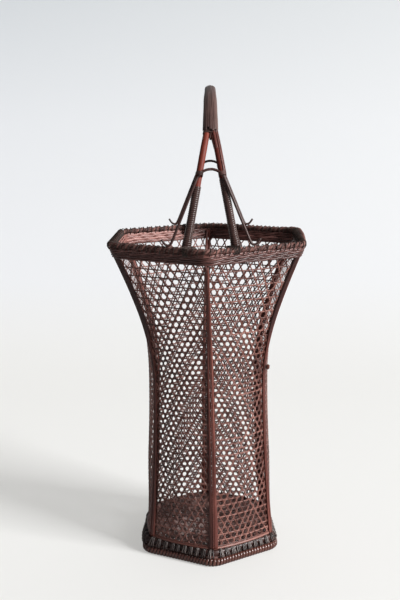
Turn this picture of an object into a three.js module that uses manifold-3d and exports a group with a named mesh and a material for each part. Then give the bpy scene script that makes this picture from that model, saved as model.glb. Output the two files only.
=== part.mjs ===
// Handled flower basket with six walls of open hexagonal bamboo weave and a trumpet mouth.
// Millimetres, +Z up, origin at the middle of the foot, front corner towards -Y.
import * as THREE from "three";
import { mergeVertices } from "three/addons/utils/BufferGeometryUtils.js";
import Module from "manifold-3d";

const wasm = await Module();
wasm.setup();

// Body: corner radii of the middle of the wall, and the levels where they hold
const BASE_RADIUS = 76.3;
const WAIST_RADIUS = 67;
const MOUTH_RADIUS = 113.5;
const WAIST_LEVEL = 190;
const MOUTH_LEVEL = 341;
const BODY_CURVE = 1.94;
const FLARE_BEND = 92;
const WALL_THICKNESS = 1.2;

// Twist of the six sides, which fades faster towards the mouth
const FOOT_TURN = THREE.MathUtils.degToRad(3.4);
const MOUTH_TURN = THREE.MathUtils.degToRad(-0.8);
const TWIST_CURVE = 2.1;

// Roundness of the walls, from 0 for flat ones to 1 for a full circle. They are roundest from
// ROUND_SHARE of the way up to the waist, and flat from FLAT_SHARE of the way up to the rim.
const FOOT_ROUNDNESS = 0.37;
const BODY_ROUNDNESS = 0.81;
const ROUND_SHARE = 0.53;
const FLAT_SHARE = 0.75;

// Weave: hexagonal openings in staggered rows on each wall
const OPENINGS_ACROSS = 3;
const OPENING_ROWS = 13;
const STRAND_BAND = 3.4;
const WALL_TRIM = 3.6;
const SIDE_STRIP = 2.4;
const SELVAGE = 3.4;

// Corner posts: folded strips outside, flat strips inside
const POST_WIDTH = 5;
const POST_THICKNESS = 1.2;
const LINER_WIDTH = 8;
const LINER_THICKNESS = 1.1;

// Foot: a wrapped hoop on the ground and a lashed ring above it
const FOOT_HOOP_HEIGHT = 9;
const FOOT_HOOP_THICKNESS = 6.4;
const FOOT_HOOP_CHAMFER = 2.2;
const FOOT_SPREAD = 5.2;
const LASHED_RING_HEIGHT = 9;
const LASHED_RING_THICKNESS = 8;
const LASHED_RING_CHAMFER = 1;
const FOOT_FILLET = 10;
const FLOOR_THICKNESS = 2.2;

// Rim: two bands that clamp the walls and a braided edge on top
const RIM_BAND_HEIGHT = 10.6;
const OUTER_BAND_THICKNESS = 2.3;
const INNER_BAND_THICKNESS = 1.8;
const BRAID_WIDTH = 8;
const BRAID_HEIGHT = 5.4;
const BRAID_CHAMFER = 1.6;
const BAND_FILLET = 6;
const BRAID_FILLET = 10;

// Handle: two bent rods side by side, front to back over the mouth. Each share is of the rise
// of the arch above the braid.
const HANDLE_TOP = 504;
const HANDLE_SHIFT = 4;
const ROD_RADIUS = 3.4;
const ROD_TOP_RADIUS = 2.6;
const ROD_SPLAY = 0.186;
const SPLAY_SHARE = 0.729;
const ROD_TAPER_SHARE = 0.595;
const ROD_DEPTH_BELOW_BRAID = 9;
const GRIP_END_SHARE = 0.716;
const GRIP_THICKNESS = 0.9;
const LEG_WRAP_THICKNESS = 0.6;
const LEFT_WRAP_SHARE = 0.379;
const RIGHT_WRAP_SHARE = 0.426;
const LASHING_WIDTH = 12;
const LASHING_THICKNESS = 1.2;
const LASHING_DROP = 7;

// Hoops: thin arches lashed across the legs, with hooked feet on the rim
const HOOP_RADIUS = 1.4;
const HOOP_TIP_RADIUS = 0.8;
const HOOP_TOP_SHARE = 0.5;
const HOOP_CROWN_RADIUS = 15;
const HOOP_FOOT_REACH = 38;
const HOOK_REACH = 9;
const HOOK_RISE = 6;
const HOOK_DROP = 1.5;
const TIE_LENGTH = 4;
const TIE_THICKNESS = 0.9;

// Peg knotted on the right front post
const PEG_LEVEL = 208;
const PEG_LENGTH = 5.5;
const PEG_WIDTH = 4;

// Clearance between pieces that touch
const GAP = 0.3;

// Counts of steps in curves
const WALL_STEPS = 8;
const FILLET_STEPS = 4;
const ROD_SIDES = 8;
const ARCH_STEPS = 30;
const HOOP_SIDES = 6;
const GRIP_SIDES = 7;

// Levels and offsets that follow from the driving sizes
const SIDES = 6;
const WALL_NAMES = ["front_right", "right", "back_right", "back_left", "left", "front_left"];
const CORNER_NAMES = ["front", "right_front", "right_back", "back", "left_back", "left_front"];
const FACE_TURN = Math.PI / SIDES;
const FACE_COS = Math.cos(FACE_TURN);
const FOOT_HEIGHT = FOOT_HOOP_HEIGHT + GAP + LASHED_RING_HEIGHT;
const WALL_BOTTOM = FOOT_HEIGHT + GAP;
const BRAID_BOTTOM = MOUTH_LEVEL + GAP;
const BRAID_TOP = BRAID_BOTTOM + BRAID_HEIGHT;
const BAND_BOTTOM = MOUTH_LEVEL - RIM_BAND_HEIGHT;
const WALL_HALF = WALL_THICKNESS / 2;
const OUTER_SEAT = WALL_HALF + GAP;
const ROD_SEAT = BRAID_WIDTH / 2 + 2 * GAP + ROD_RADIUS;

const BAMBOO_RED = new THREE.MeshStandardMaterial({ color: 0x8a3a24, roughness: 0.45, metalness: 0 });
const BAMBOO_DARK = new THREE.MeshStandardMaterial({ color: 0x4a211b, roughness: 0.5, metalness: 0 });
const STRAND_BROWN = new THREE.MeshStandardMaterial({ color: 0x6b3527, roughness: 0.55, metalness: 0 });
const RATTAN_BROWN = new THREE.MeshStandardMaterial({ color: 0x5a3a30, roughness: 0.6, metalness: 0 });
const RATTAN_BLACK = new THREE.MeshStandardMaterial({ color: 0x2c2622, roughness: 0.6, metalness: 0 });

const basket = new THREE.Group();

function addPiece(name, geometry, material) {
  const mesh = new THREE.Mesh(geometry, material);
  mesh.name = name;
  basket.add(mesh);
}

// Shape of the body

function radiusAt(level) {
  if (level < WAIST_LEVEL) {
    const share = (WAIST_LEVEL - level) / (WAIST_LEVEL - WALL_BOTTOM);
    return WAIST_RADIUS + (BASE_RADIUS - WAIST_RADIUS) * share ** BODY_CURVE;
  }
  const swing = (height) => Math.hypot(height, FLARE_BEND) - FLARE_BEND;
  const share = swing(level - WAIST_LEVEL) / swing(MOUTH_LEVEL - WAIST_LEVEL);
  return WAIST_RADIUS + (MOUTH_RADIUS - WAIST_RADIUS) * share;
}

function turnAt(level) {
  const share = THREE.MathUtils.clamp((level - WALL_BOTTOM) / (MOUTH_LEVEL - WALL_BOTTOM), 0, 1);
  return FOOT_TURN + (MOUTH_TURN - FOOT_TURN) * share ** TWIST_CURVE;
}

// How far a wall bows out at its middle
function bowAt(level) {
  const roundLevel = THREE.MathUtils.lerp(WALL_BOTTOM, WAIST_LEVEL, ROUND_SHARE);
  const flatLevel = THREE.MathUtils.lerp(WAIST_LEVEL, BAND_BOTTOM, FLAT_SHARE);
  const rising = THREE.MathUtils.smoothstep(level, WALL_BOTTOM, roundLevel);
  const fading = THREE.MathUtils.smoothstep(level, WAIST_LEVEL, flatLevel);
  const roundness = THREE.MathUtils.lerp(FOOT_ROUNDNESS, BODY_ROUNDNESS, rising) * (1 - fading);
  return radiusAt(level) * (1 - FACE_COS) * roundness;
}

function direction(angle) {
  return new THREE.Vector3(Math.sin(angle), -Math.cos(angle), 0);
}

function cornerAngle(corner, level) {
  return corner * 2 * FACE_TURN + turnAt(level);
}

// Corner 0 is the front one, and they go round towards +X
function cornerPoint(corner, level, offset = 0) {
  const radius = radiusAt(level) + offset / FACE_COS;
  return direction(cornerAngle(corner, level)).multiplyScalar(radius).setZ(level);
}

// A point on wall `side`, `along` millimetres past its middle and `offset` outside its middle surface
function wallPoint(side, along, level, offset) {
  const angle = cornerAngle(side + 0.5, level);
  const share = along / (radiusAt(level) / 2);
  const apothem = radiusAt(level) * FACE_COS + bowAt(level) * (1 - share ** 2) + offset;
  const outward = direction(angle).multiplyScalar(apothem);
  const sideways = direction(angle + Math.PI / 2).multiplyScalar(along);
  return outward.add(sideways).setZ(level);
}

// Closed skins

function flatten(ring) {
  const normal = new THREE.Vector3();
  ring.forEach((point, index) => {
    const next = ring[(index + 1) % ring.length];
    normal.add(point.clone().sub(ring[0]).cross(next.clone().sub(ring[0])));
  });
  const across = ring[1].clone().sub(ring[0]).normalize();
  const up = normal.normalize().cross(across);
  return ring.map((point) => {
    const arm = point.clone().sub(ring[0]);
    return new THREE.Vector2(arm.dot(across), arm.dot(up));
  });
}

function signedVolume(points, index) {
  let volume = 0;
  for (let k = 0; k < index.length; k += 3) {
    const [a, b, c] = [points[index[k]], points[index[k + 1]], points[index[k + 2]]];
    volume += a.dot(b.clone().cross(c)) / 6;
  }
  return volume;
}

// Skins a run of rings; `closed` joins the last ring to the first instead of capping both
function loft(rings, closed = false) {
  const count = rings[0].length;
  const points = rings.flat();
  const index = [];
  const joins = closed ? rings.length : rings.length - 1;
  for (let r = 0; r < joins; r += 1) {
    const here = r * count;
    const next = ((r + 1) % rings.length) * count;
    for (let i = 0; i < count; i += 1) {
      const j = (i + 1) % count;
      index.push(here + i, here + j, next + j);
      index.push(here + i, next + j, next + i);
    }
  }
  if (!closed) {
    const start = THREE.ShapeUtils.triangulateShape(flatten(rings[0]), []);
    const end = (rings.length - 1) * count;
    start.forEach(([a, b, c]) => {
      index.push(c, b, a);
      index.push(end + a, end + b, end + c);
    });
  }
  if (signedVolume(points, index) < 0) {
    index.reverse();
  }
  const geometry = new THREE.BufferGeometry();
  geometry.setAttribute("position", new THREE.Float32BufferAttribute(points.flatMap((p) => p.toArray()), 3));
  geometry.setIndex(index);
  geometry.computeVertexNormals();
  return geometry;
}

// A hollow sleeve between matching outer and inner rings
function sleeve(outer, inner) {
  return loft([...outer, ...inner.slice().reverse()], true);
}

// Rings square to a path, each shaped by `section(step)` as a list of [sideways, outward] pairs
function ringsAlong(path, section, sideHint) {
  return path.map((centre, step) => {
    const before = path[Math.max(step - 1, 0)];
    const after = path[Math.min(step + 1, path.length - 1)];
    const tangent = after.clone().sub(before).normalize();
    const sideways = sideHint.clone().addScaledVector(tangent, -sideHint.dot(tangent)).normalize();
    const outward = tangent.clone().cross(sideways);
    return section(step).map(([s, o]) =>
      centre.clone().addScaledVector(sideways, s).addScaledVector(outward, o));
  });
}

function roundSection(radius, sides) {
  return Array.from({ length: sides }, (_, k) => {
    const angle = ((k + 0.5) / sides) * 2 * Math.PI;
    return [radius * Math.cos(angle), radius * Math.sin(angle)];
  });
}

// Two half rounds joined by straight flanks, around a pair of rods
function pairSection(halfSpacing, radius) {
  const right = Array.from({ length: GRIP_SIDES }, (_, k) => {
    const angle = (k / (GRIP_SIDES - 1) - 0.5) * Math.PI;
    return [halfSpacing + radius * Math.cos(angle), radius * Math.sin(angle)];
  });
  return [...right, ...right.map(([s, o]) => [-s, -o])];
}

// Radius of a polygon's corners that keeps its flats outside a round of the given radius
function aroundRound(radius, sides) {
  return radius / Math.cos(Math.PI / sides);
}

// A ring with rounded corners that follows the body's six sides.
// The profile holds [offset from the middle of the wall, level] pairs.
function hexagonRing(profile, fillet, radiusOf, turnOf) {
  const rings = [];
  for (let corner = 0; corner < SIDES; corner += 1) {
    for (let step = 0; step <= FILLET_STEPS; step += 1) {
      const bend = (step / FILLET_STEPS - 0.5) * 2 * FACE_TURN;
      rings.push(profile.map(([offset, level]) => {
        const angle = corner * 2 * FACE_TURN + turnOf(level);
        const centre = direction(angle).multiplyScalar(radiusOf(level) - fillet / FACE_COS);
        return centre.addScaledVector(direction(angle + bend), fillet + offset).setZ(level);
      }));
    }
  }
  return loft(rings, true);
}

function chamfered(left, right, bottom, top, chamfer) {
  return [
    [left + chamfer, bottom],
    [right - chamfer, bottom],
    [right, bottom + chamfer],
    [right, top - chamfer],
    [right - chamfer, top],
    [left + chamfer, top],
    [left, top - chamfer],
    [left, bottom + chamfer],
  ];
}

// Foot

function addFoot() {
  const hoopRadius = () => BASE_RADIUS + FOOT_SPREAD / FACE_COS;
  const baseRadius = () => BASE_RADIUS;
  const baseTurn = () => FOOT_TURN;
  const hoopHalf = FOOT_HOOP_THICKNESS / 2;
  const hoop = chamfered(-hoopHalf, hoopHalf, 0, FOOT_HOOP_HEIGHT, FOOT_HOOP_CHAMFER);
  addPiece("foot_hoop", hexagonRing(hoop, FOOT_FILLET + FOOT_SPREAD, hoopRadius, baseTurn), BAMBOO_DARK);

  const bottom = FOOT_HOOP_HEIGHT + GAP;
  const ringHalf = LASHED_RING_THICKNESS / 2;
  const lean = (level) => FOOT_SPREAD * (1 - (level - bottom) / LASHED_RING_HEIGHT);
  const upright = chamfered(-ringHalf, ringHalf, bottom, FOOT_HEIGHT, LASHED_RING_CHAMFER);
  const leaning = upright.map(([offset, level]) => [offset + lean(level), level]);
  addPiece("foot_lashed_ring", hexagonRing(leaning, FOOT_FILLET, baseRadius, baseTurn), RATTAN_BLACK);
}

function addFloor() {
  const insideWalls = -(WALL_HALF + 2 * GAP);
  const half = faceWidth(WALL_BOTTOM) / 2;
  const along = acrossShares().map((share) => -share * half);
  const outline = (level) => CORNER_NAMES.flatMap((name, corner) => [
    cornerPoint(corner, WALL_BOTTOM, insideWalls).setZ(level),
    ...along.map((place) => wallPoint(corner, place, WALL_BOTTOM, insideWalls).setZ(level)),
  ]);
  const rings = [outline(WALL_BOTTOM), outline(WALL_BOTTOM + FLOOR_THICKNESS)];
  addPiece("floor_panel", loft(rings), STRAND_BROWN);
}

// Walls

function faceWidth(level) {
  return radiusAt(level) - 2 * WALL_TRIM;
}

// Even steps across a wall between its two sides, as shares of half its width
function acrossShares() {
  return Array.from({ length: WALL_STEPS - 1 }, (_, k) => 1 - (2 * (k + 1)) / WALL_STEPS);
}

// Levels between rows of openings: each row is as tall as its hexagons are wide
function rowLevels() {
  const bottom = WALL_BOTTOM + SELVAGE;
  const top = BAND_BOTTOM;
  const levels = [bottom];
  for (let row = 0; row < OPENING_ROWS; row += 1) {
    const guess = bottom + ((row + 0.5) / OPENING_ROWS) * (top - bottom);
    levels.push(levels[row] + faceWidth(guess));
  }
  const scale = (top - bottom) / (levels[OPENING_ROWS] - bottom);
  return levels.map((level) => bottom + (level - bottom) * scale);
}

const ROW_LEVELS = rowLevels();

// Levels that walls, posts and liners share, closer together where the body flares
function sharedLevels(bottom, top) {
  const levels = [];
  ROW_LEVELS.forEach((level, row) => {
    levels.push(level);
    if (level > WAIST_LEVEL - STRAND_BAND * 4 && row < OPENING_ROWS) {
      levels.push((level + ROW_LEVELS[row + 1]) / 2);
    }
  });
  return [bottom, ...levels.filter((level) => level > bottom + 1 && level < top - 1), top];
}

// One opening as corners in the wall's own plane, cut off at the wall's side strips
function openingOutline(row, centreShare) {
  const low = ROW_LEVELS[row] + STRAND_BAND / 2;
  const high = ROW_LEVELS[row + 1] - STRAND_BAND / 2;
  const middle = (low + high) / 2;
  const width = faceWidth(middle);
  const centre = (centreShare - 0.5) * width;
  const reach = width / OPENINGS_ACROSS / 2 - STRAND_BAND / Math.sqrt(3);
  const limit = (level) => faceWidth(level) / 2 - SIDE_STRIP;
  const corners = [
    [centre + reach / 2, low],
    [centre + reach, middle],
    [centre + reach / 2, high],
    [centre - reach / 2, high],
    [centre - reach, middle],
    [centre - reach / 2, low],
  ];
  return corners.map(([along, level]) =>
    new THREE.Vector2(THREE.MathUtils.clamp(along, -limit(level), limit(level)), level));
}

// A strip of wall between two levels, as an outline with its openings, in the wall's own plane
function wallStrip(levels, row) {
  const [bottom, top] = [levels[0], levels[levels.length - 1]];
  const edge = levels.map((level) => new THREE.Vector2(faceWidth(level) / 2, level));
  const across = (level) => acrossShares().map((share) =>
    new THREE.Vector2((share * faceWidth(level)) / 2, level));
  const outline = [
    ...edge,
    ...across(top),
    ...edge.map((point) => new THREE.Vector2(-point.x, point.y)).reverse(),
    ...across(bottom).reverse(),
  ];
  const openings = [];
  if (row >= 0 && row < OPENING_ROWS) {
    const shift = row % 2 ? 0 : 0.5;
    for (let column = 0; column + shift <= OPENINGS_ACROSS; column += 1) {
      openings.push(openingOutline(row, (column + shift) / OPENINGS_ACROSS));
    }
  }
  return { outline, openings };
}

const EDGE_HOLLOW = 0.4;
const TINY = 1e-6;

// The outline of a strip with its lower and upper edges hollowed, so that no triangle of the
// strip runs along an edge past the points between its ends
function hollowed(outline, bottom, top) {
  return outline.map((point) => {
    const share = point.x / (faceWidth(point.y) / 2);
    const inward = (point.y === bottom) - (point.y === top);
    return new THREE.Vector2(point.x, point.y + inward * EDGE_HOLLOW * (1 - share ** 2));
  });
}

// Twice the area of a flat triangle, positive when its corners go round to the left
function doubleArea(a, b, c) {
  return b.clone().sub(a).cross(c.clone().sub(a));
}

// Cotangent of the angle at `tip`, which sees the stretch from `a` to `b`
function cotangent(a, b, tip) {
  return a.clone().sub(tip).dot(b.clone().sub(tip)) / doubleArea(a, b, tip);
}

// The first two triangles that get less slim when the side they share is swapped
function nextSwap(points, faces) {
  const opposite = new Map();
  faces.forEach((face, index) => [0, 1, 2].forEach((k) => {
    const [a, b, tip] = [0, 1, 2].map((step) => face[(k + step) % 3]);
    opposite.set(`${a} ${b}`, { index, a, b, tip });
  }));
  for (const here of opposite.values()) {
    const there = opposite.get(`${here.b} ${here.a}`);
    if (there) {
      const [a, b, tip, far] = [here.a, here.b, here.tip, there.tip].map((corner) => points[corner]);
      const convex = Math.min(doubleArea(tip, a, far), doubleArea(far, b, tip)) > TINY;
      if (convex && cotangent(a, b, tip) + cotangent(b, a, far) < -TINY) {
        return { here, there };
      }
    }
  }
  return null;
}

// Swaps shared sides until no slim triangle cuts across the bow of the wall
function evened(points, triangles) {
  const faces = triangles.slice();
  for (let swap = nextSwap(points, faces); swap; swap = nextSwap(points, faces)) {
    const { here, there } = swap;
    faces[here.index] = [here.a, there.tip, here.tip];
    faces[there.index] = [there.tip, here.b, here.tip];
  }
  return faces;
}

// Each strip is skinned by itself, so the wall bends at every row and no facet spans the flare
function wallGeometry(side) {
  const levels = sharedLevels(WALL_BOTTOM, MOUTH_LEVEL);
  const cuts = [WALL_BOTTOM, ...ROW_LEVELS, MOUTH_LEVEL];
  const positions = [];
  const put = (point, offset) => positions.push(...wallPoint(side, point.x, point.y, offset).toArray());
  const putEdge = (from, to) => {
    [[from, -1], [to, -1], [to, 1], [from, -1], [to, 1], [from, 1]]
      .forEach(([point, skin]) => put(point, skin * WALL_HALF));
  };
  const putLoop = (loop) => loop.forEach((point, k) => putEdge(point, loop[(k + 1) % loop.length]));
  for (let strip = 0; strip + 1 < cuts.length; strip += 1) {
    const inside = levels.filter((level) => level >= cuts[strip] && level <= cuts[strip + 1]);
    const { outline, openings } = wallStrip(inside, strip - 1);
    const points = [...outline, ...openings.flat()];
    const shape = hollowed(outline, cuts[strip], cuts[strip + 1]);
    evened(points, THREE.ShapeUtils.triangulateShape(shape, openings)).forEach((corners) => {
      corners.forEach((corner) => put(points[corner], WALL_HALF));
      corners.slice().reverse().forEach((corner) => put(points[corner], -WALL_HALF));
    });
    openings.forEach((opening) => putLoop(opening.slice().reverse()));
  }
  putLoop(wallStrip(levels, -1).outline);
  const skin = new THREE.BufferGeometry();
  skin.setAttribute("position", new THREE.Float32BufferAttribute(positions, 3));
  const geometry = mergeVertices(skin, 1e-4);
  geometry.computeVertexNormals();
  return geometry;
}

function addWalls() {
  WALL_NAMES.forEach((name, side) => addPiece(`wall_${name}`, wallGeometry(side), STRAND_BROWN));
}

function addPosts() {
  const inner = OUTER_SEAT;
  const outer = inner + POST_THICKNESS;
  const levels = sharedLevels(WALL_BOTTOM, BAND_BOTTOM - GAP);
  CORNER_NAMES.forEach((name, corner) => {
    const rings = levels.map((level) => {
      const half = radiusAt(level) / 2 - POST_WIDTH;
      return [
        wallPoint(corner - 1, half, level, inner),
        cornerPoint(corner, level, inner),
        wallPoint(corner, -half, level, inner),
        wallPoint(corner, -half, level, outer),
        cornerPoint(corner, level, outer),
        wallPoint(corner - 1, half, level, outer),
      ];
    });
    addPiece(`post_${name}`, loft(rings), BAMBOO_RED);
  });
}

// Flat strips inside each corner, behind the ends of both walls
function addLiners() {
  const levels = sharedLevels(WALL_BOTTOM + FLOOR_THICKNESS + GAP, BAND_BOTTOM - GAP);
  const half = LINER_WIDTH / 2;
  const reach = (half + OUTER_SEAT * Math.sin(FACE_TURN)) / FACE_COS;
  CORNER_NAMES.forEach((name, corner) => {
    const rings = levels.map((level) => {
      const angle = cornerAngle(corner, level);
      const behindWall = wallPoint(corner, reach - radiusAt(level) / 2, level, -OUTER_SEAT);
      const depth = behindWall.dot(direction(angle));
      const across = direction(angle + Math.PI / 2);
      const corners = [[-half, 0], [half, 0], [half, -LINER_THICKNESS], [-half, -LINER_THICKNESS]];
      return corners.map(([along, out]) =>
        direction(angle).multiplyScalar(depth + out).addScaledVector(across, along).setZ(level));
    });
    addPiece(`liner_${name}`, loft(rings), BAMBOO_RED);
  });
}

// Rim

function addRim() {
  const outerBand = [
    [OUTER_SEAT, BAND_BOTTOM],
    [OUTER_SEAT + OUTER_BAND_THICKNESS, BAND_BOTTOM],
    [OUTER_SEAT + OUTER_BAND_THICKNESS, MOUTH_LEVEL],
    [OUTER_SEAT, MOUTH_LEVEL],
  ];
  const innerBand = [
    [-OUTER_SEAT - INNER_BAND_THICKNESS, BAND_BOTTOM],
    [-OUTER_SEAT, BAND_BOTTOM],
    [-OUTER_SEAT, MOUTH_LEVEL],
    [-OUTER_SEAT - INNER_BAND_THICKNESS, MOUTH_LEVEL],
  ];
  addPiece("rim_outer_band", hexagonRing(outerBand, BAND_FILLET, radiusAt, turnAt), STRAND_BROWN);
  addPiece("rim_inner_band", hexagonRing(innerBand, BAND_FILLET, radiusAt, turnAt), STRAND_BROWN);
  const half = BRAID_WIDTH / 2;
  const braid = chamfered(-half, half, BRAID_BOTTOM, BRAID_TOP, BRAID_CHAMFER);
  const mouthRadius = () => MOUTH_RADIUS;
  const mouthTurn = () => MOUTH_TURN;
  addPiece("rim_braid", hexagonRing(braid, BRAID_FILLET, mouthRadius, mouthTurn), BAMBOO_DARK);
}

// Handle

const ARCH_RISE = HANDLE_TOP - GRIP_THICKNESS - GAP - ROD_TOP_RADIUS - BRAID_TOP;
const ROD_FOOT_LEVEL = BRAID_TOP - ROD_DEPTH_BELOW_BRAID;
const FOOT_LEAN = (radiusAt(MOUTH_LEVEL) - radiusAt(ROD_FOOT_LEVEL)) * FACE_COS;
const HOOP_TOP = archLevel(HOOP_TOP_SHARE);

function archLevel(share) {
  return BRAID_TOP + ARCH_RISE * share;
}

function rodRadiusAt(level) {
  const share = THREE.MathUtils.smoothstep(level, archLevel(ROD_TAPER_SHARE), archLevel(1));
  return ROD_RADIUS + (ROD_TOP_RADIUS - ROD_RADIUS) * share;
}

// Outside of a leg's wrap, at the corners of its section
function wrapRadiusAt(level) {
  return aroundRound(rodRadiusAt(level) + GAP, ROD_SIDES) + LEG_WRAP_THICKNESS;
}

function rodSpacingAt(level) {
  return rodRadiusAt(level) + GAP / 2 + ROD_SPLAY * Math.max(archLevel(SPLAY_SHARE) - level, 0);
}

// Depth from the middle of the basket at which a rod `x` to the side of the handle's middle
// clears the braid. `hand` is 1 for +X and `end` is -1 for the front.
function seatDepth(x, hand, end) {
  const turn = MOUTH_TURN * hand * -end;
  const slant = FACE_TURN - turn;
  const apothem = MOUTH_RADIUS * FACE_COS - ROD_SEAT;
  return (apothem - (x + hand * HANDLE_SHIFT) * Math.sin(slant)) / Math.cos(slant);
}

// The lower end leans in with the flare
function footDepth(x, hand, end) {
  return seatDepth(x, hand, end) - FOOT_LEAN;
}

// The seats of the two rods differ in depth, and this difference fades out up to the grip
function rodPath(hand) {
  const path = [];
  const mouthSpacing = rodSpacingAt(BRAID_TOP);
  const footSpacing = rodSpacingAt(ROD_FOOT_LEVEL);
  const footX = HANDLE_SHIFT + hand * footSpacing;
  const span = (end, share) => {
    const own = seatDepth(mouthSpacing, hand, end);
    const other = seatDepth(mouthSpacing, -hand, end);
    return THREE.MathUtils.lerp(own, (own + other) / 2, Math.min(share / GRIP_END_SHARE, 1));
  };
  path.push(new THREE.Vector3(footX, -footDepth(footSpacing, hand, -1), ROD_FOOT_LEVEL));
  for (let step = 0; step <= ARCH_STEPS; step += 1) {
    const angle = (step / ARCH_STEPS) * Math.PI;
    const share = Math.sin(angle);
    const level = archLevel(share);
    const depth = -Math.cos(angle) * span(step * 2 < ARCH_STEPS ? -1 : 1, share);
    path.push(new THREE.Vector3(HANDLE_SHIFT + hand * rodSpacingAt(level), depth, level));
  }
  path.push(new THREE.Vector3(footX, footDepth(footSpacing, hand, 1), ROD_FOOT_LEVEL));
  return path;
}

const ACROSS = new THREE.Vector3(1, 0, 0);
const IN_DEPTH = new THREE.Vector3(0, 1, 0);

function rodGeometry(path) {
  const section = (step) => roundSection(rodRadiusAt(path[step].z), ROD_SIDES);
  return loft(ringsAlong(path, section, ACROSS));
}

function addRods() {
  addPiece("handle_rod_left", rodGeometry(rodPath(-1)), BAMBOO_RED);
  addPiece("handle_rod_right", rodGeometry(rodPath(1)), BAMBOO_RED);
}

function addGrip() {
  const left = rodPath(-1);
  const right = rodPath(1);
  const top = left.map((p, step) => step).filter((step) => left[step].z > archLevel(GRIP_END_SHARE));
  const path = top.map((step) => left[step].clone().lerp(right[step], 0.5));
  const around = (step, margin) => {
    const rod = right[top[step]];
    const radius = rodRadiusAt(rod.z) + GAP;
    return pairSection(rod.x - HANDLE_SHIFT, aroundRound(radius, 2 * (GRIP_SIDES - 1)) + margin);
  };
  const outer = ringsAlong(path, (step) => around(step, GRIP_THICKNESS), ACROSS);
  const inner = ringsAlong(path, (step) => around(step, 0), ACROSS);
  addPiece("grip_wrap", sleeve(outer, inner), RATTAN_BROWN);
}

const LEGS = [
  { name: "front_left", hand: -1, end: -1, wrapTop: archLevel(LEFT_WRAP_SHARE) },
  { name: "front_right", hand: 1, end: -1, wrapTop: archLevel(RIGHT_WRAP_SHARE) },
  { name: "back_left", hand: -1, end: 1, wrapTop: archLevel(LEFT_WRAP_SHARE) },
  { name: "back_right", hand: 1, end: 1, wrapTop: archLevel(RIGHT_WRAP_SHARE) },
];

// The stretch of a leg between two levels, cut at exactly those levels, from the rim upwards
function legPath(leg, bottom, top) {
  const rod = rodPath(leg.hand);
  const upwards = leg.end < 0 ? rod : rod.slice().reverse();
  const rising = upwards.slice(0, rod.length / 2);
  const path = [];
  for (let step = 1; step < rising.length; step += 1) {
    const [low, high] = [rising[step - 1], rising[step]];
    if (low.z <= bottom && bottom < high.z) {
      path.push(low.clone().lerp(high, (bottom - low.z) / (high.z - low.z)));
    }
    if (low.z > bottom && low.z < top) {
      path.push(low.clone());
    }
    if (low.z <= top && top < high.z) {
      path.push(low.clone().lerp(high, (top - low.z) / (high.z - low.z)));
    }
  }
  return path;
}

const LASHING_TOP = BRAID_TOP + GAP + LASHING_THICKNESS;

function addLegWraps() {
  LEGS.forEach((leg) => {
    const tilt = ROD_SPLAY * wrapRadiusAt(LASHING_TOP);
    const path = legPath(leg, LASHING_TOP + GAP + tilt, leg.wrapTop);
    const tube = (growth) => ringsAlong(path, (step) =>
      roundSection(wrapRadiusAt(path[step].z) + growth, ROD_SIDES), ACROSS);
    const [outer, inner] = [tube(0), tube(-LEG_WRAP_THICKNESS)];
    addPiece(`leg_wrap_${leg.name}`, sleeve(outer, inner), RATTAN_BROWN);
  });
}

function toSolid(geometry) {
  const plain = geometry.clone();
  plain.deleteAttribute("normal");
  plain.deleteAttribute("uv");
  const merged = mergeVertices(plain, 1e-4);
  const vertProperties = new Float32Array(merged.attributes.position.array);
  const triVerts = new Uint32Array(merged.index.array);
  return new wasm.Manifold(new wasm.Mesh({ numProp: 3, vertProperties, triVerts }));
}

function fromSolid(solid) {
  const { vertProperties, triVerts } = solid.getMesh();
  const geometry = new THREE.BufferGeometry();
  geometry.setAttribute("position", new THREE.Float32BufferAttribute(vertProperties, 3));
  geometry.setIndex(Array.from(triVerts));
  geometry.computeVertexNormals();
  return geometry;
}

// A saddle over the braid at each foot of the handle, with the rod standing through it
function addRimLashings() {
  const innerReach = -ROD_SEAT - FOOT_LEAN - aroundRound(ROD_RADIUS + GAP, ROD_SIDES) - GAP;
  const outerReach = BRAID_WIDTH / 2 + GAP;
  const bottom = MOUTH_LEVEL - LASHING_DROP;
  const t = LASHING_THICKNESS;
  const profile = [
    [innerReach - t, bottom],
    [innerReach, bottom],
    [innerReach, MOUTH_LEVEL],
    [innerReach, BRAID_TOP + GAP],
    [outerReach, BRAID_TOP + GAP],
    [outerReach, MOUTH_LEVEL],
    [outerReach, bottom],
    [outerReach + t, bottom],
    [outerReach + t, MOUTH_LEVEL],
    [outerReach + t, LASHING_TOP],
    [innerReach - t, LASHING_TOP],
    [innerReach - t, MOUTH_LEVEL],
  ];
  LEGS.forEach((leg) => {
    const side = WALL_NAMES.indexOf(leg.name);
    const seat = legPath(leg, BRAID_TOP, LASHING_TOP)[0];
    const normalAngle = cornerAngle(side + 0.5, MOUTH_LEVEL);
    const along = seat.dot(direction(normalAngle + Math.PI / 2));
    const ring = (shift) => profile.map(([offset, level]) =>
      wallPoint(side, along + shift, Math.min(level, MOUTH_LEVEL), offset).setZ(level));
    const saddle = toSolid(loft([ring(-LASHING_WIDTH / 2), ring(LASHING_WIDTH / 2)]));
    const rod = rodPath(leg.hand);
    const bore = (step) => roundSection(aroundRound(rodRadiusAt(rod[step].z) + GAP, ROD_SIDES), ROD_SIDES);
    const tunnel = toSolid(loft(ringsAlong(rod, bore, ACROSS)));
    addPiece(`rim_lashing_${leg.name}`, fromSolid(saddle.subtract(tunnel)), RATTAN_BROWN);
  });
}

// Hoops

const HOOP_CROWN_STEPS = 8;
const HOOP_LEG_STEPS = 4;
const HOOK_STEPS = 5;

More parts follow.
